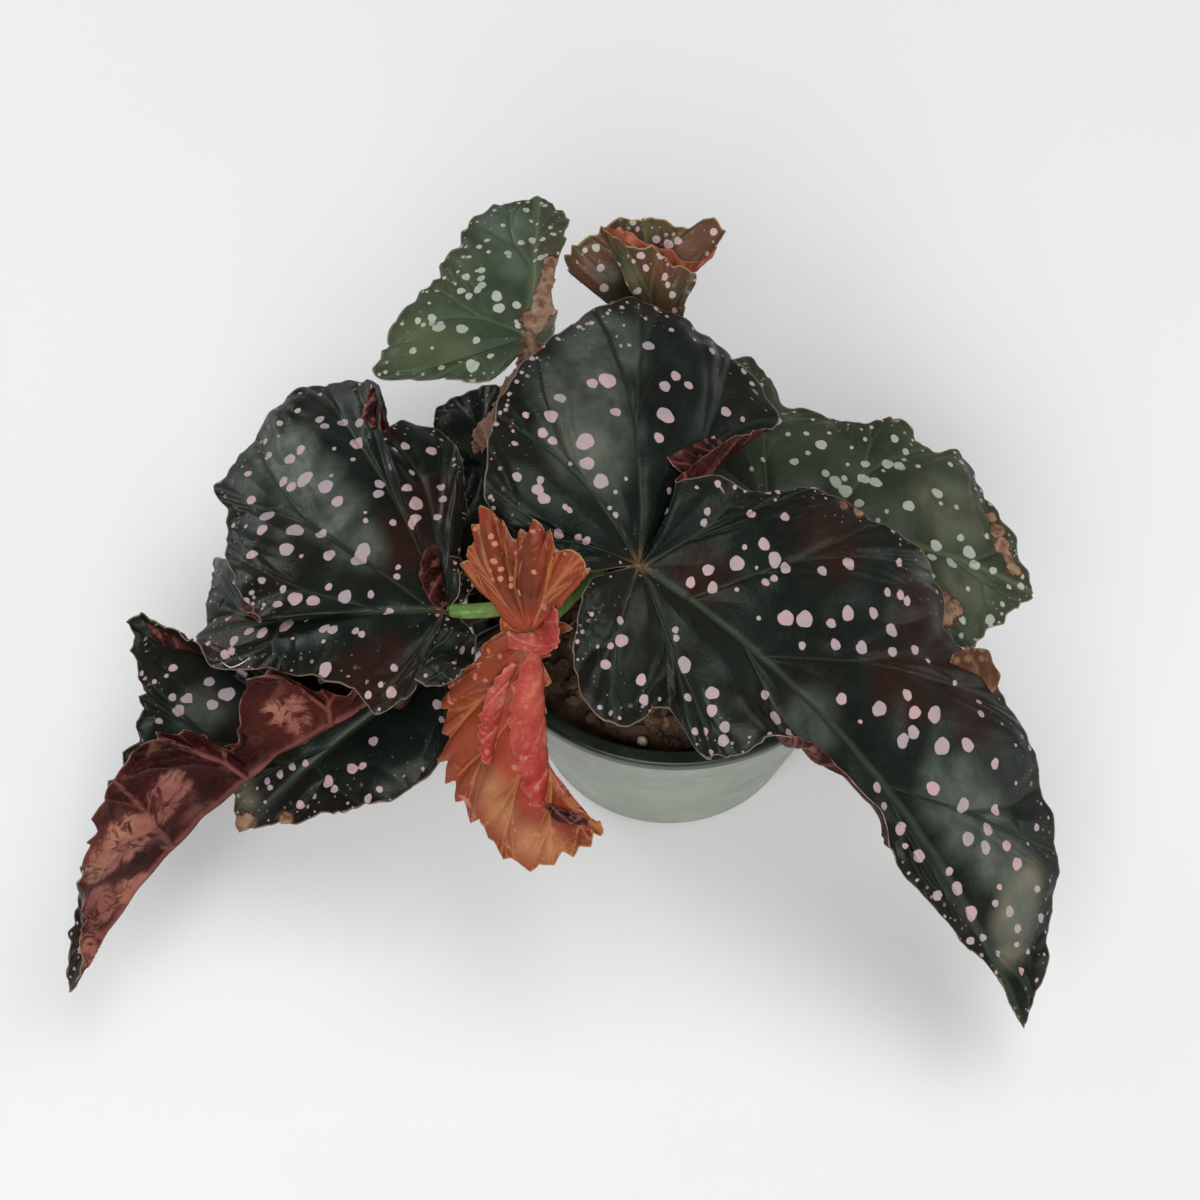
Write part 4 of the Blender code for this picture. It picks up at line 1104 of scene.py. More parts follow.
def leaf_skins():
    pink, lilac = (0.53, 0.34, 0.34), (0.38, 0.31, 0.33)
    cream, sage = (0.46, 0.46, 0.38), (0.34, 0.38, 0.32)
    return {
        "dark": upper_skin("leaf_dark", (0.0045, 0.0062, 0.0048), (0.0085, 0.012, 0.009),
                           (0.034, 0.046, 0.03), (pink, lilac), (0.22, 0.16, 0.12), gloss=0.2,
                           painted_sheen=(0.078, 0.09, 0.074), gold=(0.23, 0.2, 0.13)),
        "olive": upper_skin("leaf_olive", (0.02, 0.025, 0.014), (0.052, 0.062, 0.036),
                            (0.09, 0.11, 0.06), (cream, sage), (0.3, 0.22, 0.13),
                            blush=(0.035, 0.022, 0.01), painted_sheen=(0.09, 0.1, 0.062), rough=0.4,
                            inner_dots=0.16),
        "green": upper_skin("leaf_green", (0.026, 0.042, 0.023), (0.066, 0.088, 0.05),
                            (0.085, 0.12, 0.06), (cream, sage), (0.3, 0.25, 0.16),
                            blush=(0.05, 0.02, 0.012), painted_sheen=(0.1, 0.13, 0.1), rough=0.4,
                            gold=(0.085, 0.105, 0.045), inner_dots=0.3, flush_share=0.6),
        "curled": upper_skin("leaf_curled_top", (0.026, 0.018, 0.01), (0.055, 0.05, 0.022),
                             (0.12, 0.11, 0.045), (cream, pink), (0.4, 0.26, 0.1),
                             blush=(0.12, 0.036, 0.02), blush_share=0.4, flush_share=0.8,
                             inner_dots=0.3),
        "young": upper_skin("leaf_young_top", (0.085, 0.012, 0.004), (0.25, 0.048, 0.015),
                            (0.48, 0.2, 0.07), ((0.55, 0.2, 0.12), (0.48, 0.15, 0.09)),
                            (0.42, 0.22, 0.07), blush=(0.4, 0.05, 0.03), blush_share=0.3,
                            painted_sheen=(0.55, 0.26, 0.18), gold=(0.46, 0.2, 0.085), dot_share=0.5,
                            vein_share=0.7, rough=0.36, gloss=0.25, inner_dots=0.2,
                            flush_share=0.85, minor_share=0.7, crinkle=9.0),
        "red": under_skin("leaf_under_red", (0.013, 0.0016, 0.0016), (0.036, 0.0042, 0.0036),
                          (0.28, 0.09, 0.075), (0.38, 0.17, 0.11), pale_share=0.25, gloss=0.16,
                          brick=(0.06, 0.009, 0.0045)),
        "brown": under_skin("leaf_under_brown", (0.06, 0.022, 0.009), (0.16, 0.065, 0.025),
                            (0.36, 0.21, 0.1), (0.4, 0.25, 0.14), vein_share=0.2),
        "orange": under_skin("leaf_under_orange", (0.2, 0.035, 0.02), (0.34, 0.085, 0.045),
                             (0.5, 0.2, 0.12), (0.5, 0.25, 0.17)),
        "young_under": under_skin("leaf_under_young", (0.3, 0.022, 0.018), (0.45, 0.08, 0.05),
                                  (0.6, 0.22, 0.15), (0.62, 0.27, 0.2), pale_share=0.9, vein_share=0.4,
                                  rough=0.36, gloss=0.4),
        "rim_dark": rim_skin("margin_dark", (0.32, 0.22, 0.16)),
        "rim_young": rim_skin("margin_young", (0.5, 0.3, 0.1)),
    }


# Leaves
def both_sides(blade):
    """Points of the upper and the lower surface: veins pressed in above, raised below."""
    main, minor = blade.veins
    edge = blade.fields["edge"]
    thick = THICK_MARGIN + (THICK_MIDDLE - THICK_MARGIN) * smoothstep(0, 8, edge)
    groove = vein_line(main, *MAIN_GROOVE) + vein_line(minor, *MINOR_GROOVE)
    far = np.clip(blade.fields["out"] / RIDGE_REACH, 0, 1)
    height, width = (full - loss * far for full, loss in zip(MAIN_RIDGE, MAIN_RIDGE_LOSS))
    ridge = vein_line(main, height, width) + vein_line(minor, *MINOR_RIDGE)
    groove *= smoothstep(0, 2, edge)
    ridge *= smoothstep(0, 3, edge)
    return (blade.points + blade.normals * (thick / 2 - groove)[:, None],
            blade.points - blade.normals * (thick / 2 + ridge)[:, None])


def open_edges(faces):
    """The edges that only one face has, each in that face's direction."""
    ways = np.concatenate([faces[:, [0, 1]], faces[:, [1, 2]], faces[:, [2, 0]]])
    _, first, times = np.unique(np.sort(ways, axis=1), axis=0, return_index=True,
                                return_counts=True)
    return ways[first[times == 1]]


def skin_of(blade, skins):
    """The closed leaf: upper skin, lower skin and the rim between them."""
    above, below = both_sides(blade)
    count, under = len(blade.points), blade.coarse_count
    top, bottom = blade.faces, blade.coarse
    quads = [(b, a, a + count, b + count) for a, b in open_edges(bottom)]
    faces = [*top.tolist(), *(bottom[:, ::-1] + count).tolist(), *quads]
    which = np.repeat([0, 1, 2], [len(top), len(bottom), len(quads)])
    upper, lower = blade.finish["skins"]
    margin = "rim_young" if upper == "young" else "rim_dark"
    piece = mesh_object(blade.name + "_blade", np.vstack([above, below[:under]]), faces,
                        [skins[upper], skins[lower], skins[margin]], which)
    put_field(piece.data, "sheet", np.vstack([blade.chart, blade.chart[:under]]), "FLOAT_VECTOR")
    fields = {key: blade.fields[key] for key in ("edge", "core", "midrib", "spot", *ZONE_EDGE)}
    fields["main"], fields["minor"] = blade.veins
    for key, value in fields.items():
        put_field(piece.data, key, np.append(value, value[:under]))
    return piece


class Fold:
    """A narrow flap of a blade, standing on a line of it and leaning over; a blade in small.

    The line is a list of pixels on the blade, the lean how steeply the flap leaves it and
    how it ends, in degrees above the blade, to the left of the line."""

    def __init__(self, blade, name, line, reach, lean, skins, teeth=(3.0, 0.8), spotted=9):
        self.name, self.finish = name, dict(skins=skins)
        draw = np.random.default_rng(len(name) + len(line))
        picks = blade.picked(line)
        route = smooth_route(blade.points[picks] + blade.normals[picks] * 0.3, 16)
        up = smooth_route(blade.normals[picks], 16)
        up = up + 2.5 * up.mean(axis=0)
        up /= np.linalg.norm(up, axis=1)[:, None]
        across = np.cross(up, along_route(route))
        run = np.append(0, np.cumsum(steps_between(route)))
        t = run / run[-1]
        width = reach * np.sin(np.pi * (0.08 + 0.86 * t)) ** 0.7
        width = np.maximum(width + tooth_line(run, *teeth, draw) * np.minimum(width / 4, 1), 0.3)
        share = np.linspace(0, 1, 25)
        angle = np.radians(lean[0] + (lean[1] - lean[0]) * share ** 0.7)
        step = np.cos(angle)[:, None, None] * across + np.sin(angle)[:, None, None] * up
        step = step * width[:, None] / len(share)
        grid = route + np.cumsum(step, 0) - step[0]
        ripple = 0.5 * share[:, None] ** 2 * np.sin(run * 1.1 + draw.uniform(0, 6))
        grid = (grid + ripple[..., None] * up).swapaxes(0, 1)
        rows, columns = grid.shape[:2]
        ids = np.arange(rows * columns).reshape(rows, columns)
        a, b, c, d = ids[:-1, :-1], ids[1:, :-1], ids[1:, 1:], ids[:-1, 1:]
        faces = np.vstack([np.stack([v.ravel() for v in tri], 1) for tri in ((a, b, c), (a, c, d))])
        self.points, self.faces, self.coarse = grid.reshape(-1, 3), faces, faces
        self.coarse_count = len(self.points)
        self.normals = point_normals(self.points, faces)
        out = (share * width[:, None]).ravel()
        way = np.repeat(run, columns)
        self.chart = np.stack([way, out, 0 * out], 1)
        bend = way + 1.3 * out + 1.2 * np.sin(0.45 * way + 0.3 * out)
        self.veins = [np.abs(bend % 6.5 - 3.25) + 0.05 * out] * 2
        far = np.full(len(out), FAR)
        edge = np.minimum(np.repeat(width, columns) - out, np.minimum(way, run[-1] - way))
        self.fields = {"edge": np.maximum(edge, 0), "out": out, "core": far, "midrib": far}
        self.fields.update({kind: 0 * out for kind in ZONE_EDGE})
        spots = [(int(draw.integers(len(out))), draw.uniform(0.4, 0.9), 1.0) for _ in range(spotted)]
        self.joint = route[0]
        self.fields["spot"] = round_marks(self, spots, 3)


def make_folds(blades, skins):
    """The turned-over flaps that the photograph shows on four leaves."""
    for leaf, folds in FOLDS.items():
        for name, shape in folds.items():
            place_piece(skin_of(Fold(blades[leaf], name, **shape), skins), [])


def make_hair(blade):
    """A pale hair that lies on the left leaf."""
    picks = blade.picked(HAIR)
    route = smooth_route(blade.points[picks] + blade.normals[picks] * 0.9, 10)
    shape = swept(route, 0.14 * np.sin(np.linspace(0.5, 2.7, len(route))), 6)
    skin = Skin("pale_hair", Roughness=0.4)
    skin.give(Base_Color=skin.mix(skin.noise(skin.space(), 2.0), (0.7, 0.66, 0.6), (0.85, 0.83, 0.8)))
    hair = mesh_object("pale_hair", *shape, [skin.material])
    place_piece(hair, [])


def hidden_from_camera(tree, eye, point):
    """Whether a blade stands between the camera and the point."""
    away = Vector(point) - eye
    hit = tree.ray_cast(eye, away.normalized())
    return hit[3] is not None and hit[3] < away.length - HIDDEN_BY


def seen_marks(blade, picks):
    """Marks at the pixels where the photograph shows them: (column, row, width)."""
    found = []
    for column, row, width in picks:
        number = blade.nearest(column, row)
        if number is not None:
            found.append((number, width / 2, blade.draw.uniform(0.94, 1.08)))
    return found


def unseen_marks(blade, tree, eye, taken):
    """Marks where the camera sees nothing of the blade, spread as on the rest of it."""
    found = []
    centres = [blade.points[number] for number, _, _ in taken]
    main, _ = blade.veins
    edge, core = blade.fields["edge"], blade.fields["core"]
    # Clear of the margin, the junction and the main veins
    open_field = np.flatnonzero((edge > 2.5) & (core > 14) & (main > 2.0))
    if not len(open_field):
        return found
    for _ in range(SPOT_TRIES):
        number = int(blade.draw.choice(open_field))
        point = blade.points[number]
        if centres and np.linalg.norm(np.array(centres) - point, axis=1).min() < SPOT_GAP:
            continue
        if not hidden_from_camera(tree, eye, point + blade.normals[number] * 0.5):
            continue
        centres.append(point)
        found.append((number, blade.draw.uniform(0.7, 2.0), blade.draw.uniform(0.85, 1.25)))
    return found


def tree_of(blades):
    """All blades as one shape that rays can be sent at."""
    points, faces, base = [], [], 0
    for blade in blades:
        points += [Vector(p) for p in blade.points]
        faces += (blade.faces + base).tolist()
        base += len(blade.points)
    return BVHTree.FromPolygons(points, faces)


def make_leaves(skins):
    blades = [Blade(name, number) for number, name in enumerate(LEAVES)]
    tree, eye = tree_of(blades), Vector(camera_axes()[0])
    for number, blade in enumerate(blades):
        spots = seen_marks(blade, SPOTS.get(blade.name, []))
        spots += unseen_marks(blade, tree, eye, spots)
        zones = {kind: seen_marks(blade, ZONES.get(blade.name, {}).get(kind, []))
                 for kind in ZONE_EDGE}
        blade.fields["spot"] = round_marks(blade, spots, number)
        blade.refine(np.abs(blade.fields["spot"]) < 0.5)
        blade.fields["spot"] = round_marks(blade, spots, number)
        for kind, soft in ZONE_EDGE.items():
            inside = round_marks(blade, zones[kind], number, soft + 1)
            blade.fields[kind] = smoothstep(-soft, soft, inside)
        place_piece(skin_of(blade, skins), [blade.name])
    by_name = {blade.name: blade for blade in blades}
    make_folds(by_name, skins)
    make_hair(by_name["leaf_left"])


# Where the photograph shows each leaf's spots: pixel column, pixel row, width in millimetres
SPOTS = {
    "leaf_front_right": [
        (648, 345, 3.2), (607, 380, 4.2), (591, 384, 2.9), (560, 399, 2.9), (551, 415, 3.4),
        (526, 414, 1.7), (542, 432, 2.5), (553, 442, 2.3), (586, 442, 4.4), (586, 465, 3.4),
        (600, 482, 3.7), (615, 414, 2.7), (674, 377, 2.9), (663, 387, 3.1), (689, 385, 2.5),
        (664, 417, 4.4), (657, 437, 2.7), (724, 412, 2.9), (743, 419, 1.7), (714, 442, 3.2),
        (517, 476, 2.3), (539, 480, 2.0), (537, 491, 2.9), (544, 500, 2.9), (565, 508, 1.5),
        (569, 510, 1.5), (514, 444, 1.7), (513, 430, 1.0), (559, 534, 2.5), (578, 538, 1.7),
        (586, 540, 2.0), (610, 508, 1.2), (614, 515, 1.5), (616, 492, 1.2), (625, 479, 1.1),
        (571, 465, 1.2), (629, 347, 1.2), (620, 348, 1.0), (616, 338, 0.8), (623, 326, 1.0),
        (646, 319, 1.3), (671, 330, 1.5), (656, 310, 1.5), (668, 316, 1.2), (713, 351, 2.0),
        (732, 358, 1.5), (743, 371, 1.7), (752, 383, 1.7), (695, 340, 1.2), (543, 348, 1.2),
        (558, 338, 1.5), (533, 359, 1.7), (523, 372, 1.2), (518, 381, 1.2), (510, 394, 1.2),
        (506, 407, 1.1), (499, 413, 1.1), (495, 424, 1.5), (490, 497, 1.2), (494, 509, 1.2),
        (579, 327, 1.5), (592, 322, 1.5), (607, 314, 1.2), (621, 307, 1.5), (707, 512, 2.2),
        (704, 522, 2.2), (751, 515, 2.5), (785, 518, 2.5), (763, 543, 3.1), (744, 546, 1.5),
        (737, 564, 3.9), (774, 559, 3.7), (785, 568, 2.9), (757, 567, 1.0), (708, 570, 2.9),
        (691, 582, 2.5), (713, 587, 2.9), (765, 582, 2.0), (775, 579, 2.0), (737, 590, 1.2),
        (665, 511, 2.0), (672, 508, 1.0), (696, 488, 1.1), (736, 488, 1.2), (744, 491, 1.0),
        (768, 493, 1.5), (778, 491, 1.5), (774, 500, 1.0), (717, 483, 2.0), (669, 491, 1.7),
        (822, 572, 2.7), (848, 565, 3.4), (899, 563, 2.2), (785, 618, 4.2), (804, 619, 4.4),
        (849, 614, 3.7), (873, 614, 2.9), (831, 624, 2.7), (891, 630, 3.7), (901, 596, 2.7),
        (906, 602, 2.5), (887, 594, 2.2), (801, 645, 2.0), (834, 644, 2.9), (861, 649, 3.4),
        (891, 652, 2.7), (915, 650, 2.7), (928, 661, 1.5), (759, 617, 1.2), (842, 699, 2.9),
        (879, 708, 3.9), (913, 712, 3.4), (935, 715, 4.2), (913, 732, 3.4), (901, 741, 3.7),
        (941, 745, 4.7), (967, 746, 3.7), (980, 715, 2.2), (978, 702, 1.7), (1001, 725, 1.0),
        (995, 764, 2.9), (1016, 745, 1.0), (1014, 784, 1.2), (860, 722, 1.2), (932, 788, 3.7),
        (962, 806, 3.9), (994, 809, 2.9), (987, 830, 3.4), (968, 839, 3.7), (985, 847, 3.4),
        (1006, 847, 2.9), (1016, 863, 3.4), (1036, 828, 2.0), (1027, 843, 1.1), (1036, 888, 2.0),
        (998, 887, 1.7), (995, 902, 2.0), (1009, 911, 2.9), (1017, 928, 2.5), (1017, 943, 1.5),
        (1028, 950, 1.5), (1039, 919, 2.7), (1020, 972, 2.0), (877, 788, 2.7), (883, 806, 2.0),
        (900, 828, 3.2), (905, 847, 1.5), (919, 856, 3.4), (949, 871, 2.2), (957, 888, 3.4),
        (938, 895, 2.7), (970, 913, 3.9), (970, 941, 2.2), (983, 938, 2.0), (998, 953, 1.7),
        (953, 684, 1.5), (908, 695, 2.9), (592, 615, 1.2), (620, 619, 2.0), (622, 640, 3.2),
        (609, 646, 1.7), (598, 647, 1.0), (606, 664, 2.5), (675, 629, 1.7), (676, 637, 1.7),
        (684, 667, 3.7), (640, 679, 2.7), (643, 699, 2.7), (689, 697, 2.0), (712, 693, 3.2),
        (712, 710, 2.9), (725, 727, 2.7), (723, 741, 2.9), (705, 731, 2.0), (695, 732, 1.7),
        (649, 710, 1.2), (712, 754, 1.7), (765, 695, 2.5), (775, 719, 3.2), (789, 732, 2.2),
        (609, 715, 1.0), (618, 719, 1.0),
    ],
    "leaf_left": [
        (319, 420, 2.5), (325, 428, 2.5), (343, 423, 3.0), (360, 424, 2.8), (356, 444, 4.0),
        (335, 449, 1.2), (352, 460, 1.5), (320, 395, 1.5), (297, 411, 1.8), (279, 424, 2.0),
        (266, 443, 1.8), (279, 436, 1.0), (268, 456, 2.5), (291, 459, 3.2), (300, 451, 2.8),
        (285, 482, 3.0), (291, 487, 3.0), (304, 480, 4.5), (326, 488, 4.2), (338, 501, 3.2),
        (248, 473, 2.2), (331, 477, 1.2), (252, 499, 2.8), (267, 517, 3.8), (262, 529, 3.0),
        (246, 528, 1.2), (234, 524, 1.5), (295, 531, 4.5), (322, 535, 3.0), (287, 550, 4.0),
        (329, 556, 3.2), (302, 556, 1.2), (252, 556, 3.0), (364, 552, 4.5), (359, 561, 4.2),
        (366, 522, 1.5), (365, 512, 1.0), (380, 484, 2.8), (379, 494, 2.8), (394, 524, 2.0),
        (388, 440, 1.2), (393, 453, 2.5), (404, 447, 2.5), (395, 466, 3.0), (412, 474, 1.8),
        (431, 451, 2.8), (407, 488, 2.5), (416, 504, 3.8), (415, 523, 3.8), (442, 488, 2.2),
        (443, 499, 2.2), (439, 517, 2.2), (454, 460, 1.2), (454, 466, 1.2), (369, 397, 2.0),
        (367, 407, 1.5), (361, 385, 1.2), (372, 386, 1.2), (296, 599, 4.0), (314, 601, 3.5),
        (284, 590, 2.0), (329, 587, 2.0), (346, 597, 3.5), (371, 594, 2.0), (278, 605, 2.5),
        (262, 581, 2.0), (252, 593, 1.5), (264, 605, 1.2), (386, 613, 1.2), (390, 612, 2.0),
        (398, 578, 1.8), (399, 568, 1.5), (287, 626, 4.2), (282, 618, 2.0), (325, 630, 2.8),
        (333, 631, 2.8), (356, 631, 2.0), (362, 636, 2.0), (262, 634, 3.2), (250, 632, 2.8),
        (307, 620, 1.2), (293, 639, 1.0), (324, 642, 1.2), (235, 642, 3.0), (231, 651, 2.2),
        (224, 654, 2.8), (208, 644, 1.5), (229, 619, 2.0), (243, 603, 2.2), (325, 670, 3.8),
        (391, 692, 2.8), (395, 667, 2.0), (381, 685, 1.5), (367, 696, 2.0), (315, 685, 1.8),
        (307, 691, 1.8),
    ],
    "leaf_folded": [
        (227, 696, 4.3), (241, 675, 3.6), (188, 700, 3.3), (179, 711, 3.3), (214, 706, 3.0),
        (209, 681, 3.0), (172, 698, 2.3), (160, 722, 2.0), (155, 683, 1.5), (167, 677, 1.3),
        (173, 668, 2.3),
    ],
    "leaf_low_left": [
        (330, 782, 3.1), (353, 768, 2.9), (363, 767, 2.1), (335, 790, 2.1), (315, 796, 1.6),
        (301, 805, 2.3), (292, 767, 2.1), (305, 763, 1.8), (280, 774, 2.1), (268, 781, 1.8),
        (270, 788, 1.6), (258, 789, 1.0), (266, 802, 1.0), (369, 798, 2.3), (373, 740, 2.6),
        (379, 788, 1.8), (437, 705, 2.6), (441, 719, 1.8),
    ],
    "leaf_young": [
        (494, 562, 1.7), (491, 569, 1.0), (501, 570, 1.4), (500, 579, 1.4), (511, 578, 1.2),
        (512, 585, 1.4), (520, 592, 1.7), (496, 544, 1.4), (490, 536, 1.4), (534, 571, 1.4),
        (500, 655, 1.4), (489, 651, 1.4), (480, 664, 1.9), (475, 677, 1.7), (486, 680, 1.4),
        (487, 752, 2.4), (521, 752, 1.4), (515, 768, 1.7), (514, 821, 1.4), (515, 830, 1.2),
    ],
    "leaf_back_left": [
        (503, 225, 1.3), (495, 211, 1.3), (463, 257, 1.3), (480, 247, 1.6), (489, 253, 1.3),
        (507, 254, 2.1), (488, 241, 1.6), (466, 277, 2.3), (482, 279, 2.1), (476, 271, 1.0),
        (458, 272, 1.0), (455, 285, 1.0), (460, 291, 2.1), (478, 290, 2.3), (469, 296, 2.1),
        (498, 296, 2.9), (500, 309, 2.9), (438, 291, 1.3), (430, 303, 1.0), (433, 318, 2.1),
        (419, 321, 1.8), (423, 326, 1.6), (431, 324, 2.1), (440, 329, 3.1), (461, 329, 3.1),
        (516, 322, 1.3), (414, 351, 2.1), (433, 348, 1.0), (475, 342, 1.0), (491, 356, 1.8),
        (472, 366, 3.6), (460, 362, 1.0), (442, 368, 1.8), (531, 222, 1.3), (538, 224, 1.0),
        (532, 241, 2.1), (542, 240, 1.8), (535, 251, 1.3), (546, 256, 1.6), (551, 228, 1.3),
        (554, 236, 1.6), (535, 261, 1.3), (526, 211, 2.1),
    ],
    "leaf_curled": [
        (634, 235, 2.4), (637, 229, 1.3), (628, 240, 1.6), (596, 247, 2.1), (668, 244, 2.6),
        (678, 240, 2.1), (642, 256, 2.1), (645, 267, 1.8), (617, 266, 1.6), (624, 269, 1.3),
        (625, 283, 1.6), (637, 291, 2.1), (647, 292, 1.3), (665, 277, 2.1), (667, 284, 1.6),
        (674, 310, 1.6),
    ],
    "leaf_right": [
        (807, 434, 1.6), (820, 446, 3.2), (808, 453, 1.6), (794, 463, 2.4), (751, 469, 1.3),
        (814, 420, 1.1), (830, 434, 1.1), (864, 440, 1.6), (894, 439, 2.6), (852, 448, 1.1),
        (871, 428, 1.3), (847, 464, 1.3), (865, 464, 2.4), (886, 464, 3.2), (900, 467, 3.2),
        (917, 467, 1.6), (950, 464, 1.6), (835, 481, 3.4), (845, 490, 3.7), (863, 478, 3.4),
        (875, 483, 3.4), (858, 504, 2.6), (937, 494, 3.2), (909, 507, 3.2), (957, 508, 1.6),
        (887, 512, 1.3), (935, 546, 3.2), (961, 538, 2.1), (985, 536, 1.6), (969, 553, 3.7),
        (931, 558, 2.6), (950, 563, 3.4), (974, 565, 3.2), (993, 571, 2.1), (1003, 548, 1.3),
        (1008, 587, 1.6), (963, 621, 2.4), (989, 619, 2.9), (991, 629, 1.8), (977, 641, 1.6),
        (1022, 578, 1.6),
    ],
}
# Where it shows painted sheen (tan patches on lower faces), red flush, yellowing and painted tan
# highlights, and dead tissue, written in the same way
ZONES = {
    "leaf_front_right": {
        "bloom": [(602, 345, 22), (582, 395, 24), (590, 440, 24), (948, 790, 18),
                  (972, 818, 20), (996, 852, 18), (1020, 905, 13), (1012, 935, 10), (812, 722, 14),
                  (925, 568, 8)],
        # On this leaf the gold is a painted tan highlight, at the tip and in a shiny panel
        "gold": [(1018, 898, 13), (1012, 925, 11), (1028, 880, 9), (588, 442, 8), (1010, 950, 8)],
        "flush": [(930, 620, 28), (905, 680, 22), (968, 705, 20), (700, 580, 16), (830, 540, 20)],
        "dry": [(858, 512, 2.5), (843, 505, 2)],
    },
    "leaf_left": {
        "bloom": [(256, 440, 14), (280, 456, 17), (308, 482, 18), (335, 515, 17), (360, 545, 14),
                  (300, 440, 8)],
        "flush": [(402, 540, 18), (432, 500, 16), (215, 640, 14), (242, 622, 14), (372, 672, 20)],
    },
    "leaf_folded": {
        "bloom": [(116, 848, 19), (138, 828, 12), (284, 709, 11), (96, 902, 13), (166, 794, 14),
                  (128, 884, 11), (92, 946, 10), (200, 712, 12), (298, 722, 6)],
        "flush": [(100, 860, 22), (118, 895, 16), (150, 820, 20), (105, 925, 12), (90, 950, 10),
                  (280, 710, 20), (320, 705, 16), (72, 985, 16), (76, 955, 18), (86, 905, 12)],
    },
    "leaf_low_left": {
        "gold": [(243, 790, 5), (248, 800, 4)],
        "dry": [(238, 828, 6), (250, 822, 4), (284, 818, 4)],
    },
    "leaf_young": {
        "flush": [(530, 668, 10), (524, 700, 12), (518, 735, 13), (522, 770, 12), (528, 798, 9),
                  (530, 622, 7)],
        "gold": [(530, 842, 10), (552, 845, 9), (500, 810, 10), (492, 786, 8)],
    },
    "leaf_back_left": {
        "bloom": [(506, 228, 14), (515, 262, 10)],
        "gold": [(424, 340, 14), (452, 348, 10), (405, 355, 8)],
        "flush": [(540, 245, 12), (548, 225, 10), (555, 262, 12), (556, 300, 12)],
        "dry": [(552, 262, 4), (552, 275, 6), (549, 288, 7), (546, 300, 8), (541, 312, 7), (535, 322, 7),
                (558, 290, 5), (556, 305, 6)],
    },
    "leaf_curled": {
        "flush": [(600, 250, 10), (585, 270, 10), (668, 262, 12), (690, 250, 14), (708, 235, 10),
                  (655, 310, 6)],
        "gold": [(625, 280, 6)],
    },
    "leaf_right": {
        "dry": [(990, 516, 3), (996, 530, 3.5), (1001, 545, 4), (1007, 558, 4), (1013, 570, 4),
                (895, 420, 2), (944, 600, 5), (952, 606, 5), (944, 615, 5)],
        "bloom": [(950, 510, 22), (965, 580, 16)],
    },
}
# Narrow flaps where a leaf turns over. Each stands on a line of pixels of the photograph. Its
# lean is how steeply it leaves the blade and how it ends, in degrees; its skins are those of
# its left and right sides.
FOLDS = {
    "leaf_young": {
        "young_side_fold": dict(
            line=[(545, 806), (549, 775), (546, 740), (544, 705), (543, 672), (541, 648)],
            reach=11.0, lean=(105, -25), skins=("young_under", "young"), teeth=(4.2, 2.4)),
        "young_collar": dict(
            line=[(556, 604), (546, 618), (533, 630), (519, 634), (509, 630)],
            reach=8.0, lean=(120, 10), skins=("young_under", "young"), teeth=(4.0, 1.6)),
        "young_crest": dict(
            line=[(492, 764), (495, 740), (500, 715), (508, 690), (517, 662)],
            reach=5.5, lean=(95, -5), skins=("young_under", "young"), teeth=(3.2, 1.4)),
        "young_tip_fold": dict(
            line=[(546, 806), (556, 818), (572, 824), (590, 824)],
            reach=4.5, lean=(80, -20), skins=("red", "red"), teeth=(2.6, 1.2)),
    },
    "leaf_left": {
        "left_junction_fold": dict(
            line=[(446, 612), (444, 588), (440, 566), (436, 545)],
            reach=6.5, lean=(80, -5), skins=("red", "dark")),
        "left_notch_fold": dict(
            line=[(376, 425), (376, 412), (376, 400), (375, 388)],
            reach=4.0, lean=(70, -20), skins=("red", "dark")),
        "left_margin_fold": dict(
            line=[(444, 613), (440, 627), (436, 641), (430, 655), (422, 668), (413, 680)],
            reach=11.0, lean=(0, -20), skins=("dark", "red"), spotted=2),
        "left_edge_fold": dict(
            line=[(450, 556), (449, 572), (447, 588), (444, 602)],
            reach=7.0, lean=(0, -30), skins=("dark", "red"), spotted=2),
    },
    "leaf_front_right": {
        "front_pleat_fold": dict(
            line=[(718, 436), (704, 440), (690, 445), (677, 451), (664, 458)],
            reach=9.0, lean=(16, 2), skins=("red", "dark"), teeth=(5.0, 0.4)),
        "front_dry_flap": dict(
            line=[(948, 662), (962, 668), (978, 678), (992, 694)],
            reach=7.0, lean=(50, 10), skins=("brown", "brown"), teeth=(4.0, 1.0)),
    },
    "leaf_folded": {
        "folded_corner": dict(
            line=[(208, 660), (191, 646), (169, 633), (147, 623)],
            reach=12.0, lean=(35, -12), skins=("red", "dark")),
    },
}
# The pixels that the hair on the left leaf runs through
HAIR = [(224, 664), (233, 667), (243, 666), (251, 661)]
# Half the width over which each kind of zone fades in, in millimetres
ZONE_EDGE = {"bloom": 4.0, "flush": 5.0, "gold": 4.0, "dry": 2.0}


# Pots
def wall_radius(height):
    """Outside radius of the outer pot."""
    return BASE_RADIUS + (RIM_RADIUS - BASE_RADIUS) * height / POT_HEIGHT


def turned(name, profile, finish):
    """A body turned about Z from a closed-over profile of (radius, height), top to bottom."""
    made = bpy.data.meshes.new(name)
    edges = [(i, i + 1) for i in range(len(profile) - 1)]
    made.from_pydata([Vector((r, 0, z)) * MM for r, z in profile], edges, [])
    made.materials.append(finish)
    body = added(name, made)
    modify(body, "SCREW", steps=TURN_SIDES, render_steps=TURN_SIDES, use_merge_vertices=True,
           merge_threshold=0.00001, use_smooth_shade=True)
    applied(body)
    shade_smooth(body.data)
    body.data.set_sharp_from_angle(angle=math.radians(35))
    return body


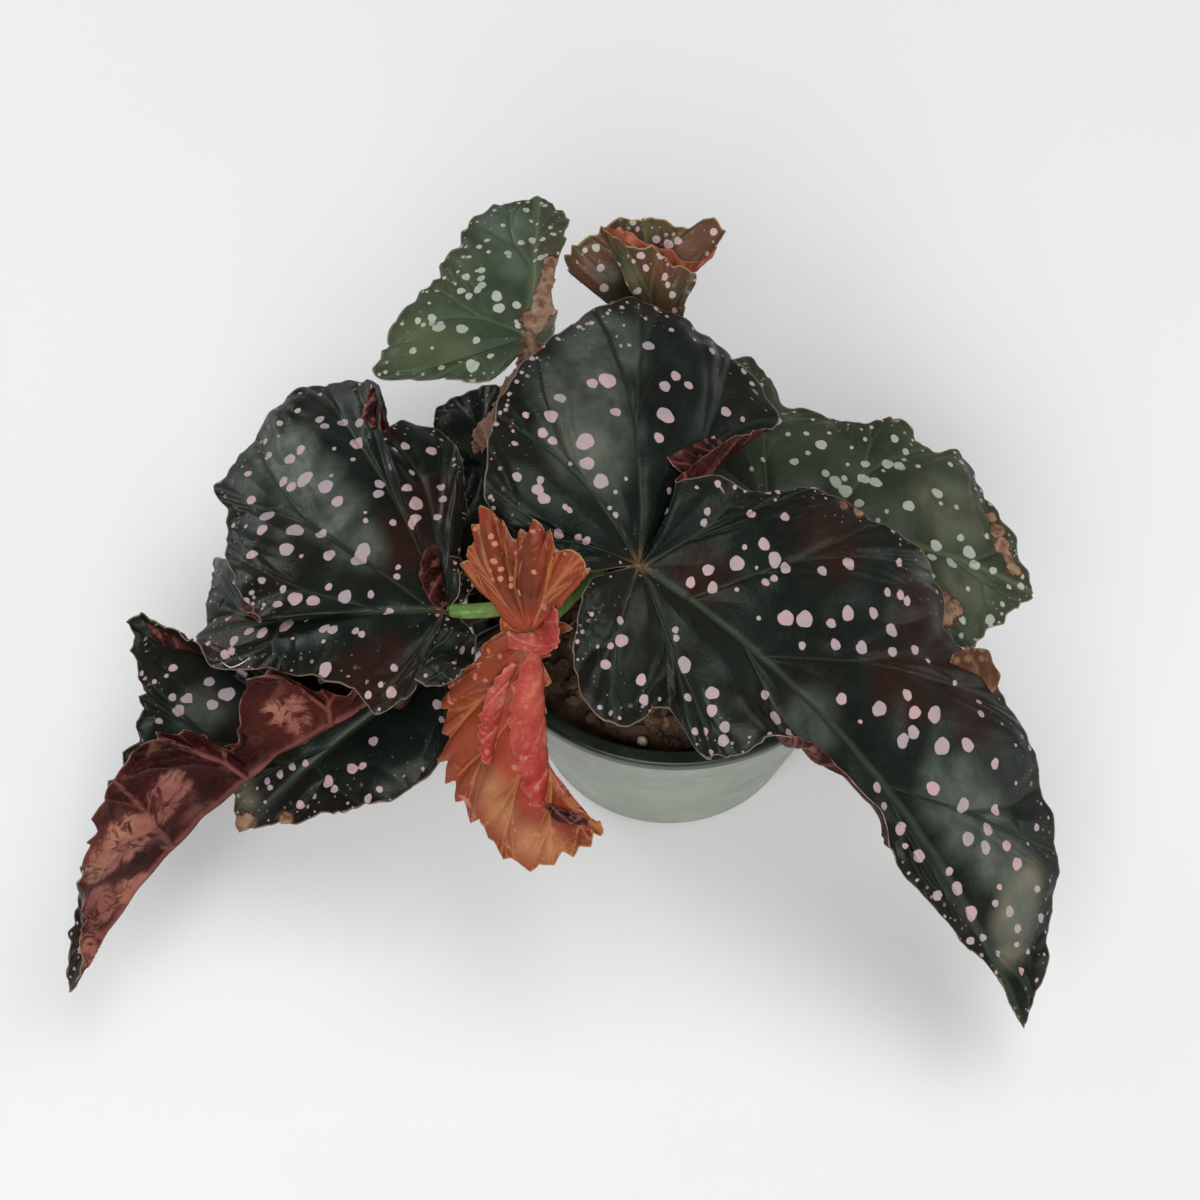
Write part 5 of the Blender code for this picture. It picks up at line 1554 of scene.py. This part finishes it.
def rounded(profile, radius=0.3, steps=4):
    """The profile with each corner replaced by a short curve."""
    pts = [np.array(p, float) for p in profile]
    out = [pts[0]]
    for before, at, after in zip(pts, pts[1:], pts[2:]):
        back, on = before - at, after - at
        r = min(radius, np.linalg.norm(back) / 2.2, np.linalg.norm(on) / 2.2)
        a, b = at + back / np.linalg.norm(back) * r, at + on / np.linalg.norm(on) * r
        for t in np.linspace(0, 1, steps):
            out.append(a * (1 - t) ** 2 + 2 * at * t * (1 - t) + b * t * t)
    out.append(pts[-1])
    return out


def sage_plastic():
    """Pale sage moulded plastic, a little chalky, with faint smears, a few scuffs and a painted
    highlight along its top edge.
    """
    skin = Skin("sage_pot", Roughness=0.42, IOR=1.46)
    here = skin.space()
    body = skin.mix(skin.fade(skin.noise(here, 22.0, 4.0), 0.35, 0.7), (0.235, 0.265, 0.215),
                    (0.29, 0.315, 0.262))
    body = skin.over(body, (0.16, 0.2, 0.16), skin.fade(skin.noise(here, 1.1, 3.0), 0.66, 0.74), 0.25)
    height = skin.node("ShaderNodeSeparateXYZ", {0: here}).outputs["Z"]
    lip = POT_HEIGHT - LIP_HEIGHT
    # Painted highlight: a pale band along the outer pot's top edge
    body = skin.over(body, (0.5, 0.55, 0.49), skin.fade(height, lip - 2.2, lip - 0.8), 0.45)
    smear = skin.noise(here, 9.0, 5.0, 0.6, 0.8)
    skin.give(Base_Color=body, Roughness=skin.span(smear, 0.3, 0.7, 0.34, 0.52))
    skin.raise_by(skin.noise(here, 0.8, 3.0), 0.03)
    return skin.material


def green_plastic():
    """Dark green nursery pot, thin and satin, with pale dust caught on its lip."""
    skin = Skin("nursery_green", Roughness=0.38, IOR=1.5)
    here = skin.space()
    body = skin.mix(skin.fade(skin.noise(here, 12.0, 3.0), 0.35, 0.7), (0.012, 0.021, 0.014),
                    (0.022, 0.036, 0.024))
    dust = skin.fade(skin.noise(here, 2.4, 6.0, 0.65), 0.56, 0.75)
    skin.give(Base_Color=skin.over(body, (0.14, 0.13, 0.1), dust, 0.35),
              Roughness=skin.span(dust, 0.0, 1.0, 0.33, 0.6))
    skin.raise_by(skin.noise(here, 0.7, 3.0), 0.03)
    return skin.material


def make_outer_pot():
    top = POT_HEIGHT - LIP_HEIGHT - FIT
    inside = [
        (0, FLOOR_THICKNESS),
        (wall_radius(FLOOR_THICKNESS) - OUTER_WALL - 2, FLOOR_THICKNESS),
        (wall_radius(FLOOR_THICKNESS + 2) - OUTER_WALL, FLOOR_THICKNESS + 2),
        (wall_radius(top) - OUTER_WALL, top - 0.4),
        (wall_radius(top) - OUTER_WALL + 0.4, top),
    ]
    outside = [
        (wall_radius(top) - 0.4, top),
        (wall_radius(top), top - 0.4),
        (wall_radius(top - 2.4), top - 2.4),
        (wall_radius(top - 2.9) - 0.35, top - 2.9),
        (wall_radius(30) - 0.2, 30),
        (wall_radius(1.5), 1.5),
        (BASE_RADIUS - 1.2, 0),
        (BASE_RADIUS - 3.5, 0),
        (BASE_RADIUS - 4.5, 0.9),
        (0, 0.9),
    ]
    pot = turned("outer_pot_turned", rounded(inside + outside, 0.5), sage_plastic())
    place_piece(pot, ["outer_pot"])


def make_grow_pot():
    top = POT_HEIGHT - LIP_HEIGHT
    clear = OUTER_WALL + FIT
    under = FLOOR_THICKNESS + FIT
    floor = under + INNER_WALL
    inside = [
        (0, floor),
        (wall_radius(floor) - clear - INNER_WALL - 3, floor),
        (wall_radius(floor + 3) - clear - INNER_WALL, floor + 3),
        (wall_radius(top) - clear - INNER_WALL, top - 1),
        (RIM_RADIUS - LIP_WIDTH + 0.6, POT_HEIGHT - 1),
        (RIM_RADIUS - LIP_WIDTH + 1.6, POT_HEIGHT),
    ]
    outside = [
        (RIM_RADIUS - 0.6, POT_HEIGHT),
        (RIM_RADIUS, POT_HEIGHT - 0.8),
        (RIM_RADIUS - 0.4, top),
        (wall_radius(top) - clear, top),
        (wall_radius(under + 3) - clear, under + 3),
        (wall_radius(under) - clear - 3, under),
        (0, under),
    ]
    pot = turned("grow_pot_turned", rounded(inside + outside, 0.35), green_plastic())
    for i in range(DRAIN_COUNT):
        turn = 2 * math.pi * i / DRAIN_COUNT
        bpy.ops.mesh.primitive_cylinder_add(
            vertices=32, radius=DRAIN_RADIUS * MM, depth=10 * MM,
            location=Vector((DRAIN_RING * math.cos(turn), DRAIN_RING * math.sin(turn), floor)) * MM)
        cutter = bpy.context.object
        modify(pot, "BOOLEAN", operation="DIFFERENCE", object=cutter)
        applied(pot)
        bpy.data.objects.remove(cutter, do_unlink=True)
    place_piece(pot, ["grow_pot"])


# Soil
def soil_height(x, y):
    """Lumpy top of the potting mix."""
    lump = np.sin(0.31 * x + 1.7) * np.cos(0.27 * y + 0.4)
    lump = lump + 0.6 * np.sin(0.53 * x - 0.41 * y + 2.1)
    return SOIL_TOP + SOIL_LUMP * lump


def bark():
    """Bark and peat: dark brown, with paler torn faces."""
    skin = Skin("bark_mix", Roughness=0.85, IOR=1.4)
    here = skin.space()
    pick = skin.node("ShaderNodeSeparateColor", {0: skin.cells(here, 5.0).outputs["Color"]})
    grain = skin.noise(here, 0.9, 6.0, 0.65)
    body = skin.mix(grain, (0.022, 0.014, 0.01), (0.17, 0.1, 0.06))
    body = skin.over(body, (0.28, 0.16, 0.09), skin.fade(pick.outputs[0], 0.6, 0.9), 0.7)
    skin.give(Base_Color=skin.over(body, (0.42, 0.29, 0.18), skin.fade(grain, 0.6, 0.78), 0.6))
    skin.raise_by(skin.noise(here, 0.6, 8.0, 0.7), 0.35)
    return skin.material


def lump(draw, size, sides, rings):
    """Points and faces of one small irregular lump, size being its three half-widths."""
    points = [np.array([0, 0, 1.0])]
    for r in range(1, rings):
        tilt = math.pi * r / rings
        for s in range(sides):
            turn = 2 * math.pi * (s + 0.5 * (r % 2)) / sides
            points.append(np.array([math.sin(tilt) * math.cos(turn),
                                    math.sin(tilt) * math.sin(turn), math.cos(tilt)]))
    points.append(np.array([0, 0, -1.0]))
    points = np.array(points)
    points = np.sign(points) * np.abs(points) ** 0.75
    points = points * (1 + draw.uniform(-0.22, 0.22, (len(points), 1))) * size
    return points, ringed_faces(rings - 1, sides, split=True)


def scattered(draw, count, out_to):
    """Places on the soil, evenly dense."""
    out = out_to * np.sqrt(draw.uniform(0, 1, count))
    turn = draw.uniform(0, 2 * np.pi, count)
    return np.stack([out * np.cos(turn), out * np.sin(turn)], 1)


def soil_radius(height):
    """Radius of the mix where it meets the nursery pot's wall."""
    return wall_radius(height) - (OUTER_WALL + INNER_WALL + 2 * FIT)


def soil_body(rim):
    """Points and faces of the mix as one lumpy body."""
    floor = FLOOR_THICKNESS + INNER_WALL + 2 * FIT
    base = soil_radius(floor) - 4
    rings, sides = 46, 150
    radii = rim * (np.arange(rings) + 1) / rings
    turn = 2 * np.pi * np.arange(sides) / sides
    x, y = radii[:, None] * np.cos(turn), radii[:, None] * np.sin(turn)
    rough = np.sin(1.3 * x + 2 * np.sin(0.7 * y)) + np.sin(1.1 * y + 2 * np.sin(0.9 * x))
    z = soil_height(x, y) - 0.6 + 0.25 * rough
    points = [(0, 0, soil_height(0, 0) - 0.6), *np.stack([x, y, z], -1).reshape(-1, 3)]
    for radius, height in ((rim, SOIL_TOP - 5), (base + 2.5, floor + 4), (base, floor)):
        points += [(radius * math.cos(t), radius * math.sin(t), height) for t in turn]
    return np.array([*points, (0, 0, floor)]), ringed_faces(rings + 3, sides)


def bark_chip(draw, x, y, big):
    """Points and faces of a tilted chip, or of a crumb, that lies on the mix."""
    if big:
        size = np.array([draw.uniform(1.6, 4.6), draw.uniform(1.0, 2.4), draw.uniform(0.5, 1.1)])
    else:
        size = draw.uniform(0.35, 1.1) * np.array([1.3, 1.0, 0.7])
    tilt = turn_about((1, 0, 0), draw.uniform(-28, 28))
    tilt = tilt @ turn_about((0, 1, 0), draw.uniform(-25, 25))
    turned_by = turn_about((0, 0, 1), draw.uniform(0, 360)) @ tilt
    where = (x, y, soil_height(x, y) + draw.uniform(-0.4, 0.7))
    chip, faces = lump(draw, size, *((7, 4) if big else (5, 3)))
    return chip @ turned_by.T + where, faces


def make_potting_mix():
    draw = np.random.default_rng(7)
    rim = soil_radius(SOIL_TOP - 3) - 0.4
    parts = [soil_body(rim)]
    chips, crumbs = scattered(draw, CHIPS, rim - 3.5), scattered(draw, CRUMBS, rim - 1.5)
    for places, big in ((chips, True), (crumbs, False)):
        for x, y in places:
            if math.hypot(x - PRILL_AT[0], y - PRILL_AT[1]) >= PRILL_ROOM:
                parts.append(bark_chip(draw, x, y, big))
    mix = mesh_object("potting_mix_bark", *joined(parts), [bark()], smooth=False)
    place_piece(mix, ["potting_mix"])
    make_fibres(draw, rim)


def make_fibres(draw, rim):
    """Fine pale roots and torn bark threads that lie on the mix."""
    parts = []
    for x, y in scattered(draw, FIBRES, rim - 9):
        heading = draw.uniform(0, 2 * math.pi)
        route = []
        for k in range(5):
            x += 2.1 * math.cos(heading)
            y += 2.1 * math.sin(heading)
            heading += draw.uniform(-0.6, 0.6)
            route.append((x, y, soil_height(x, y) + 0.9 + 0.7 * math.sin(k * 0.9)))
        route = smooth_route(route, 4)
        radii = draw.uniform(0.1, 0.26) * np.sin(np.linspace(0.35, 2.8, len(route)))
        parts.append(swept(route, radii, 5))
    skin = Skin("bark_thread", Roughness=0.7)
    tone = skin.noise(skin.space(), 4.0, 3.0)
    skin.give(Base_Color=skin.mix(skin.fade(tone, 0.4, 0.6), (0.16, 0.1, 0.06), (0.55, 0.42, 0.28)))
    threads = mesh_object("bark_threads", *joined(parts), [skin.material])
    place_piece(threads, [])


def make_prill():
    """One resin-coated fertiliser ball, a little dented."""
    x, y = PRILL_AT
    centre = np.array([x, y, soil_height(x, y) + 0.9])
    bpy.ops.mesh.primitive_ico_sphere_add(subdivisions=4, radius=PRILL_RADIUS * MM)
    ball = bpy.context.object
    ball.name = ball.data.name = "prill_ball"
    for vertex in ball.data.vertices:
        u = np.array(vertex.co) / MM
        dent = 0.06 * math.sin(2.2 * u[0] + 1) * math.cos(1.9 * u[1]) + 0.03 * math.sin(5 * u[2] + u[0])
        vertex.co = Vector(centre + u * (1 + dent - 0.05)) * MM
    shade_smooth(ball.data)
    skin = Skin("prill_coat", Roughness=0.35, IOR=1.5, Subsurface_Weight=0.15)
    skin.shader.inputs["Subsurface Radius"].default_value = (0.001, 0.0008, 0.0005)
    tone = skin.noise(skin.space(), 1.2, 4.0)
    skin.give(Base_Color=skin.mix(tone, (0.78, 0.68, 0.42), (0.92, 0.88, 0.7)))
    ball.data.materials.append(skin.material)
    place_piece(ball, ["fertiliser_prill"])


# Stems
def stem_skin():
    """Green stem with pale flecks, flushed red in places; the cane and the other stalks are dark
    red-brown, partly their own colour and partly painted shade.
    """
    skin = Skin("stem_skin", Roughness=0.38, IOR=1.42, Subsurface_Weight=0.08)
    skin.shader.inputs["Subsurface Radius"].default_value = (0.001, 0.0015, 0.0005)
    here = skin.space()
    body = skin.mix(skin.fade(skin.noise(here, 9.0, 3.0), 0.35, 0.65), (0.1, 0.2, 0.035),
                    (0.22, 0.36, 0.085))
    fleck = skin.fade(skin.cells(here, 1.9).outputs["Distance"], 0.2, 0.08)
    body = skin.over(body, (0.45, 0.5, 0.3), fleck, 0.4)
    flush = skin.fade(skin.noise(here, 26.0, 2.0), 0.56, 0.72)
    body = skin.over(body, (0.17, 0.05, 0.03), flush, 0.5)
    # Dark red-brown of the cane and the other stalks: partly their own colour, partly painted shade
    # under the leaves
    brown = skin.mix(skin.noise(here, 5.0, 3.0), (0.02, 0.008, 0.005), (0.06, 0.022, 0.012))
    skin.give(Base_Color=skin.mix(skin.field("fresh"), brown, body))
    skin.raise_by(skin.noise(here, 0.9, 4.0), 0.08)
    return skin.material


def green_part_share(points, fresh, others):
    """1 on the green stalks, falling to 0 on the cane and the other stalks, whose dark brown is partly
    painted shade.
    """
    away = []
    for routes in (fresh, others):
        tree = KDTree(sum(len(route) for route in routes))
        for number, point in enumerate(np.vstack(routes)):
            tree.insert(Vector(point), number)
        tree.balance()
        away.append(np.array([tree.find(Vector(point))[2] for point in points]))
    return smoothstep(2.0, -1.0, away[0] - away[1])


def stalk_route(leaf, route):
    """The stalk's points up to its leaf, and the way it points there."""
    joint = np.array(LEAVES[leaf]["at"], float)
    along, _, up = frame_of(*LEAVES[leaf]["set_off"])
    if leaf in NOTCH_JOINTS:
        return route + [joint - along * 5.4 - up * 0.2, joint - along * 1.2 - up * 0.6]
    return route + [joint - up * 4.1, joint - up * 1.5]


def make_cane(name, finish):
    cane = CANES[name]
    main = smooth_route(cane["route"], 10)
    rise = np.linspace(0, 1, len(main))
    rings = sum(np.exp(-((rise - at) / RING_WIDTH) ** 2) for at in CANE_RINGS)
    parts = [swept(main, CANE_RADIUS * (1.0 - 0.12 * rise + 0.13 * rings), STEM_SIDES)]
    lines = {}
    for leaf, route in cane["stalks"].items():
        lines[leaf] = line = smooth_route(stalk_route(leaf, list(route)), 10)
        t = np.linspace(0, 1, len(line))
        swell = 0.35 * np.exp(-(t / 0.08) ** 2) + 0.16 * np.exp(-((t - 0.97) / 0.07) ** 2)
        parts.append(swept(line, PETIOLE_RADIUS * (1.02 - 0.1 * t + swell), STEM_SIDES))
    stem = mesh_object(name + "_stem", *joined(parts), [finish])
    modify(stem, "REMESH", mode="VOXEL", voxel_size=STEM_VOXEL * MM, use_smooth_shade=True)
    modify(stem, "SMOOTH", factor=0.5, iterations=6)
    applied(stem)
    fresh = [line for leaf, line in lines.items() if leaf in GREEN_STALKS]
    others = [line for leaf, line in lines.items() if leaf not in GREEN_STALKS] + [main]
    places = np.array([vertex.co for vertex in stem.data.vertices]) / MM
    put_field(stem.data, "fresh", green_part_share(places, fresh, others))
    place_piece(stem, [name])


# The dead strip of the back left leaf
def dry_skin():
    """Dead leaf: brown to straw, reddish in places."""
    skin = Skin("dry_leaf", Roughness=0.7, IOR=1.4)
    here = skin.space()
    body = skin.mix(skin.noise(here, 2.6, 6.0, 0.6), (0.09, 0.042, 0.027), (0.31, 0.19, 0.13))
    reddish = skin.fade(skin.noise(here, 7.0, 3.0), 0.5, 0.66)
    skin.give(Base_Color=skin.over(body, (0.3, 0.12, 0.08), reddish))
    skin.raise_by(skin.noise(here, 0.8, 6.0, 0.65), 0.25)
    return skin.material


def make_dried_strip():
    """The crumpled dead strip that hangs from the back left leaf's junction."""
    route = smooth_route(STRIP, 16)
    shares = np.linspace(-0.5, 0.5, 15)
    phase = np.random.default_rng(31).uniform(0, 6.28, 8)
    rows = []
    for i, place in enumerate(route):
        t = i / 8
        ahead = route[min(i + 1, len(route) - 1)] - route[max(i - 1, 0)]
        across = np.cross(ahead, (0, -0.5, 0.86))
        across /= np.linalg.norm(across)
        lift = np.cross(across, ahead)
        lift /= np.linalg.norm(lift)
        width = 0.6 + 0.25 * math.sin(1.7 * t + 0.5) + 0.05 * math.sin(7 * t + phase[0])
        bump = 1.2 * np.sin(1.9 * t + 5.2 * shares + phase[1])
        bump += 0.7 * np.sin(5.3 * t + 9 * shares + phase[2]) + 0.4 * np.sin(11 * t - 7 * shares)
        ragged = 0.5 * math.sin(13 * t + phase[3]) * np.abs(shares) * 2
        out = (STRIP_WIDTH * width + ragged) * shares
        rows.append(place + out[:, None] * across + bump[:, None] * lift)
    count = len(shares)
    faces = [(a, a + 1, a + count + 1, a + count)
             for a in range((len(route) - 1) * count) if a % count < count - 1]
    strip = mesh_object("dried_strip", np.vstack(rows), faces, [dry_skin()])
    modify(strip, "SOLIDIFY", thickness=STRIP_THICKNESS * MM, offset=0)
    applied(strip)
    place_piece(strip, [])


# Surroundings
def make_floor():
    """A pale floor under the pot."""
    bpy.ops.mesh.primitive_plane_add(size=6)
    floor = bpy.context.object
    floor.name = "floor"
    paint = Skin("floor_paint", Roughness=0.9)
    tone = paint.noise(paint.space(), 300.0, 2.0)
    paint.give(Base_Color=paint.mix(tone, (0.86, 0.86, 0.86), (0.9, 0.9, 0.9)))
    floor.data.materials.append(paint.material)


def area_light(name, place, aim, size, power):
    lamp = bpy.data.lights.new(name, "AREA")
    lamp.shape = "RECTANGLE"
    lamp.size, lamp.size_y = size
    lamp.energy = power
    light = added(name, lamp)
    light.location = place
    light.rotation_euler = (Vector(aim) - Vector(place)).to_track_quat("-Z", "Y").to_euler()


def make_world():
    """Walls that are paler than the ceiling."""
    scene = bpy.context.scene
    scene.view_settings.view_transform = "Standard"
    world = bpy.data.worlds.new("studio")
    scene.world = world
    world.use_nodes = True
    tree = world.node_tree
    way = tree.nodes.new("ShaderNodeTexCoord")
    parts = tree.nodes.new("ShaderNodeSeparateXYZ")
    ramp = tree.nodes.new("ShaderNodeValToRGB")
    tree.links.new(way.outputs["Generated"], parts.inputs[0])
    tree.links.new(parts.outputs["Z"], ramp.inputs["Fac"])
    tree.links.new(ramp.outputs["Color"], tree.nodes["Background"].inputs["Color"])
    steps = ramp.color_ramp.elements
    steps[0].position, steps[0].color = 0.0, (*WALL_LIGHT, 1)
    steps[1].position, steps[1].color = 0.75, (*CEILING_LIGHT, 1)
    middle = steps.new(0.35)
    middle.color = (*WALL_LIGHT, 1)


def make_light():
    """A dim room, a large soft light over the viewer, one above, and two low windows."""
    make_world()
    for name, lamp in LAMPS.items():
        area_light(name, *lamp)


def make_camera():
    place, ahead, _, _ = camera_axes()
    lens = bpy.data.cameras.new("camera")
    lens.sensor_fit = "HORIZONTAL"
    lens.angle = 2 * math.atan(FRAME_PX / 2 / FOCAL_PX)
    lens.clip_start = 0.01
    camera = added("camera", lens)
    camera.location = Vector(place) * MM
    camera.rotation_euler = Vector(ahead).to_track_quat("-Z", "Y").to_euler()
    bpy.context.scene.camera = camera


def main():
    make_camera()
    make_floor()
    make_light()
    make_outer_pot()
    make_grow_pot()
    make_potting_mix()
    make_prill()
    green = stem_skin()
    for name in CANES:
        make_cane(name, green)
    make_leaves(leaf_skins())
    make_dried_strip()
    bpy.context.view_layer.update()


main()
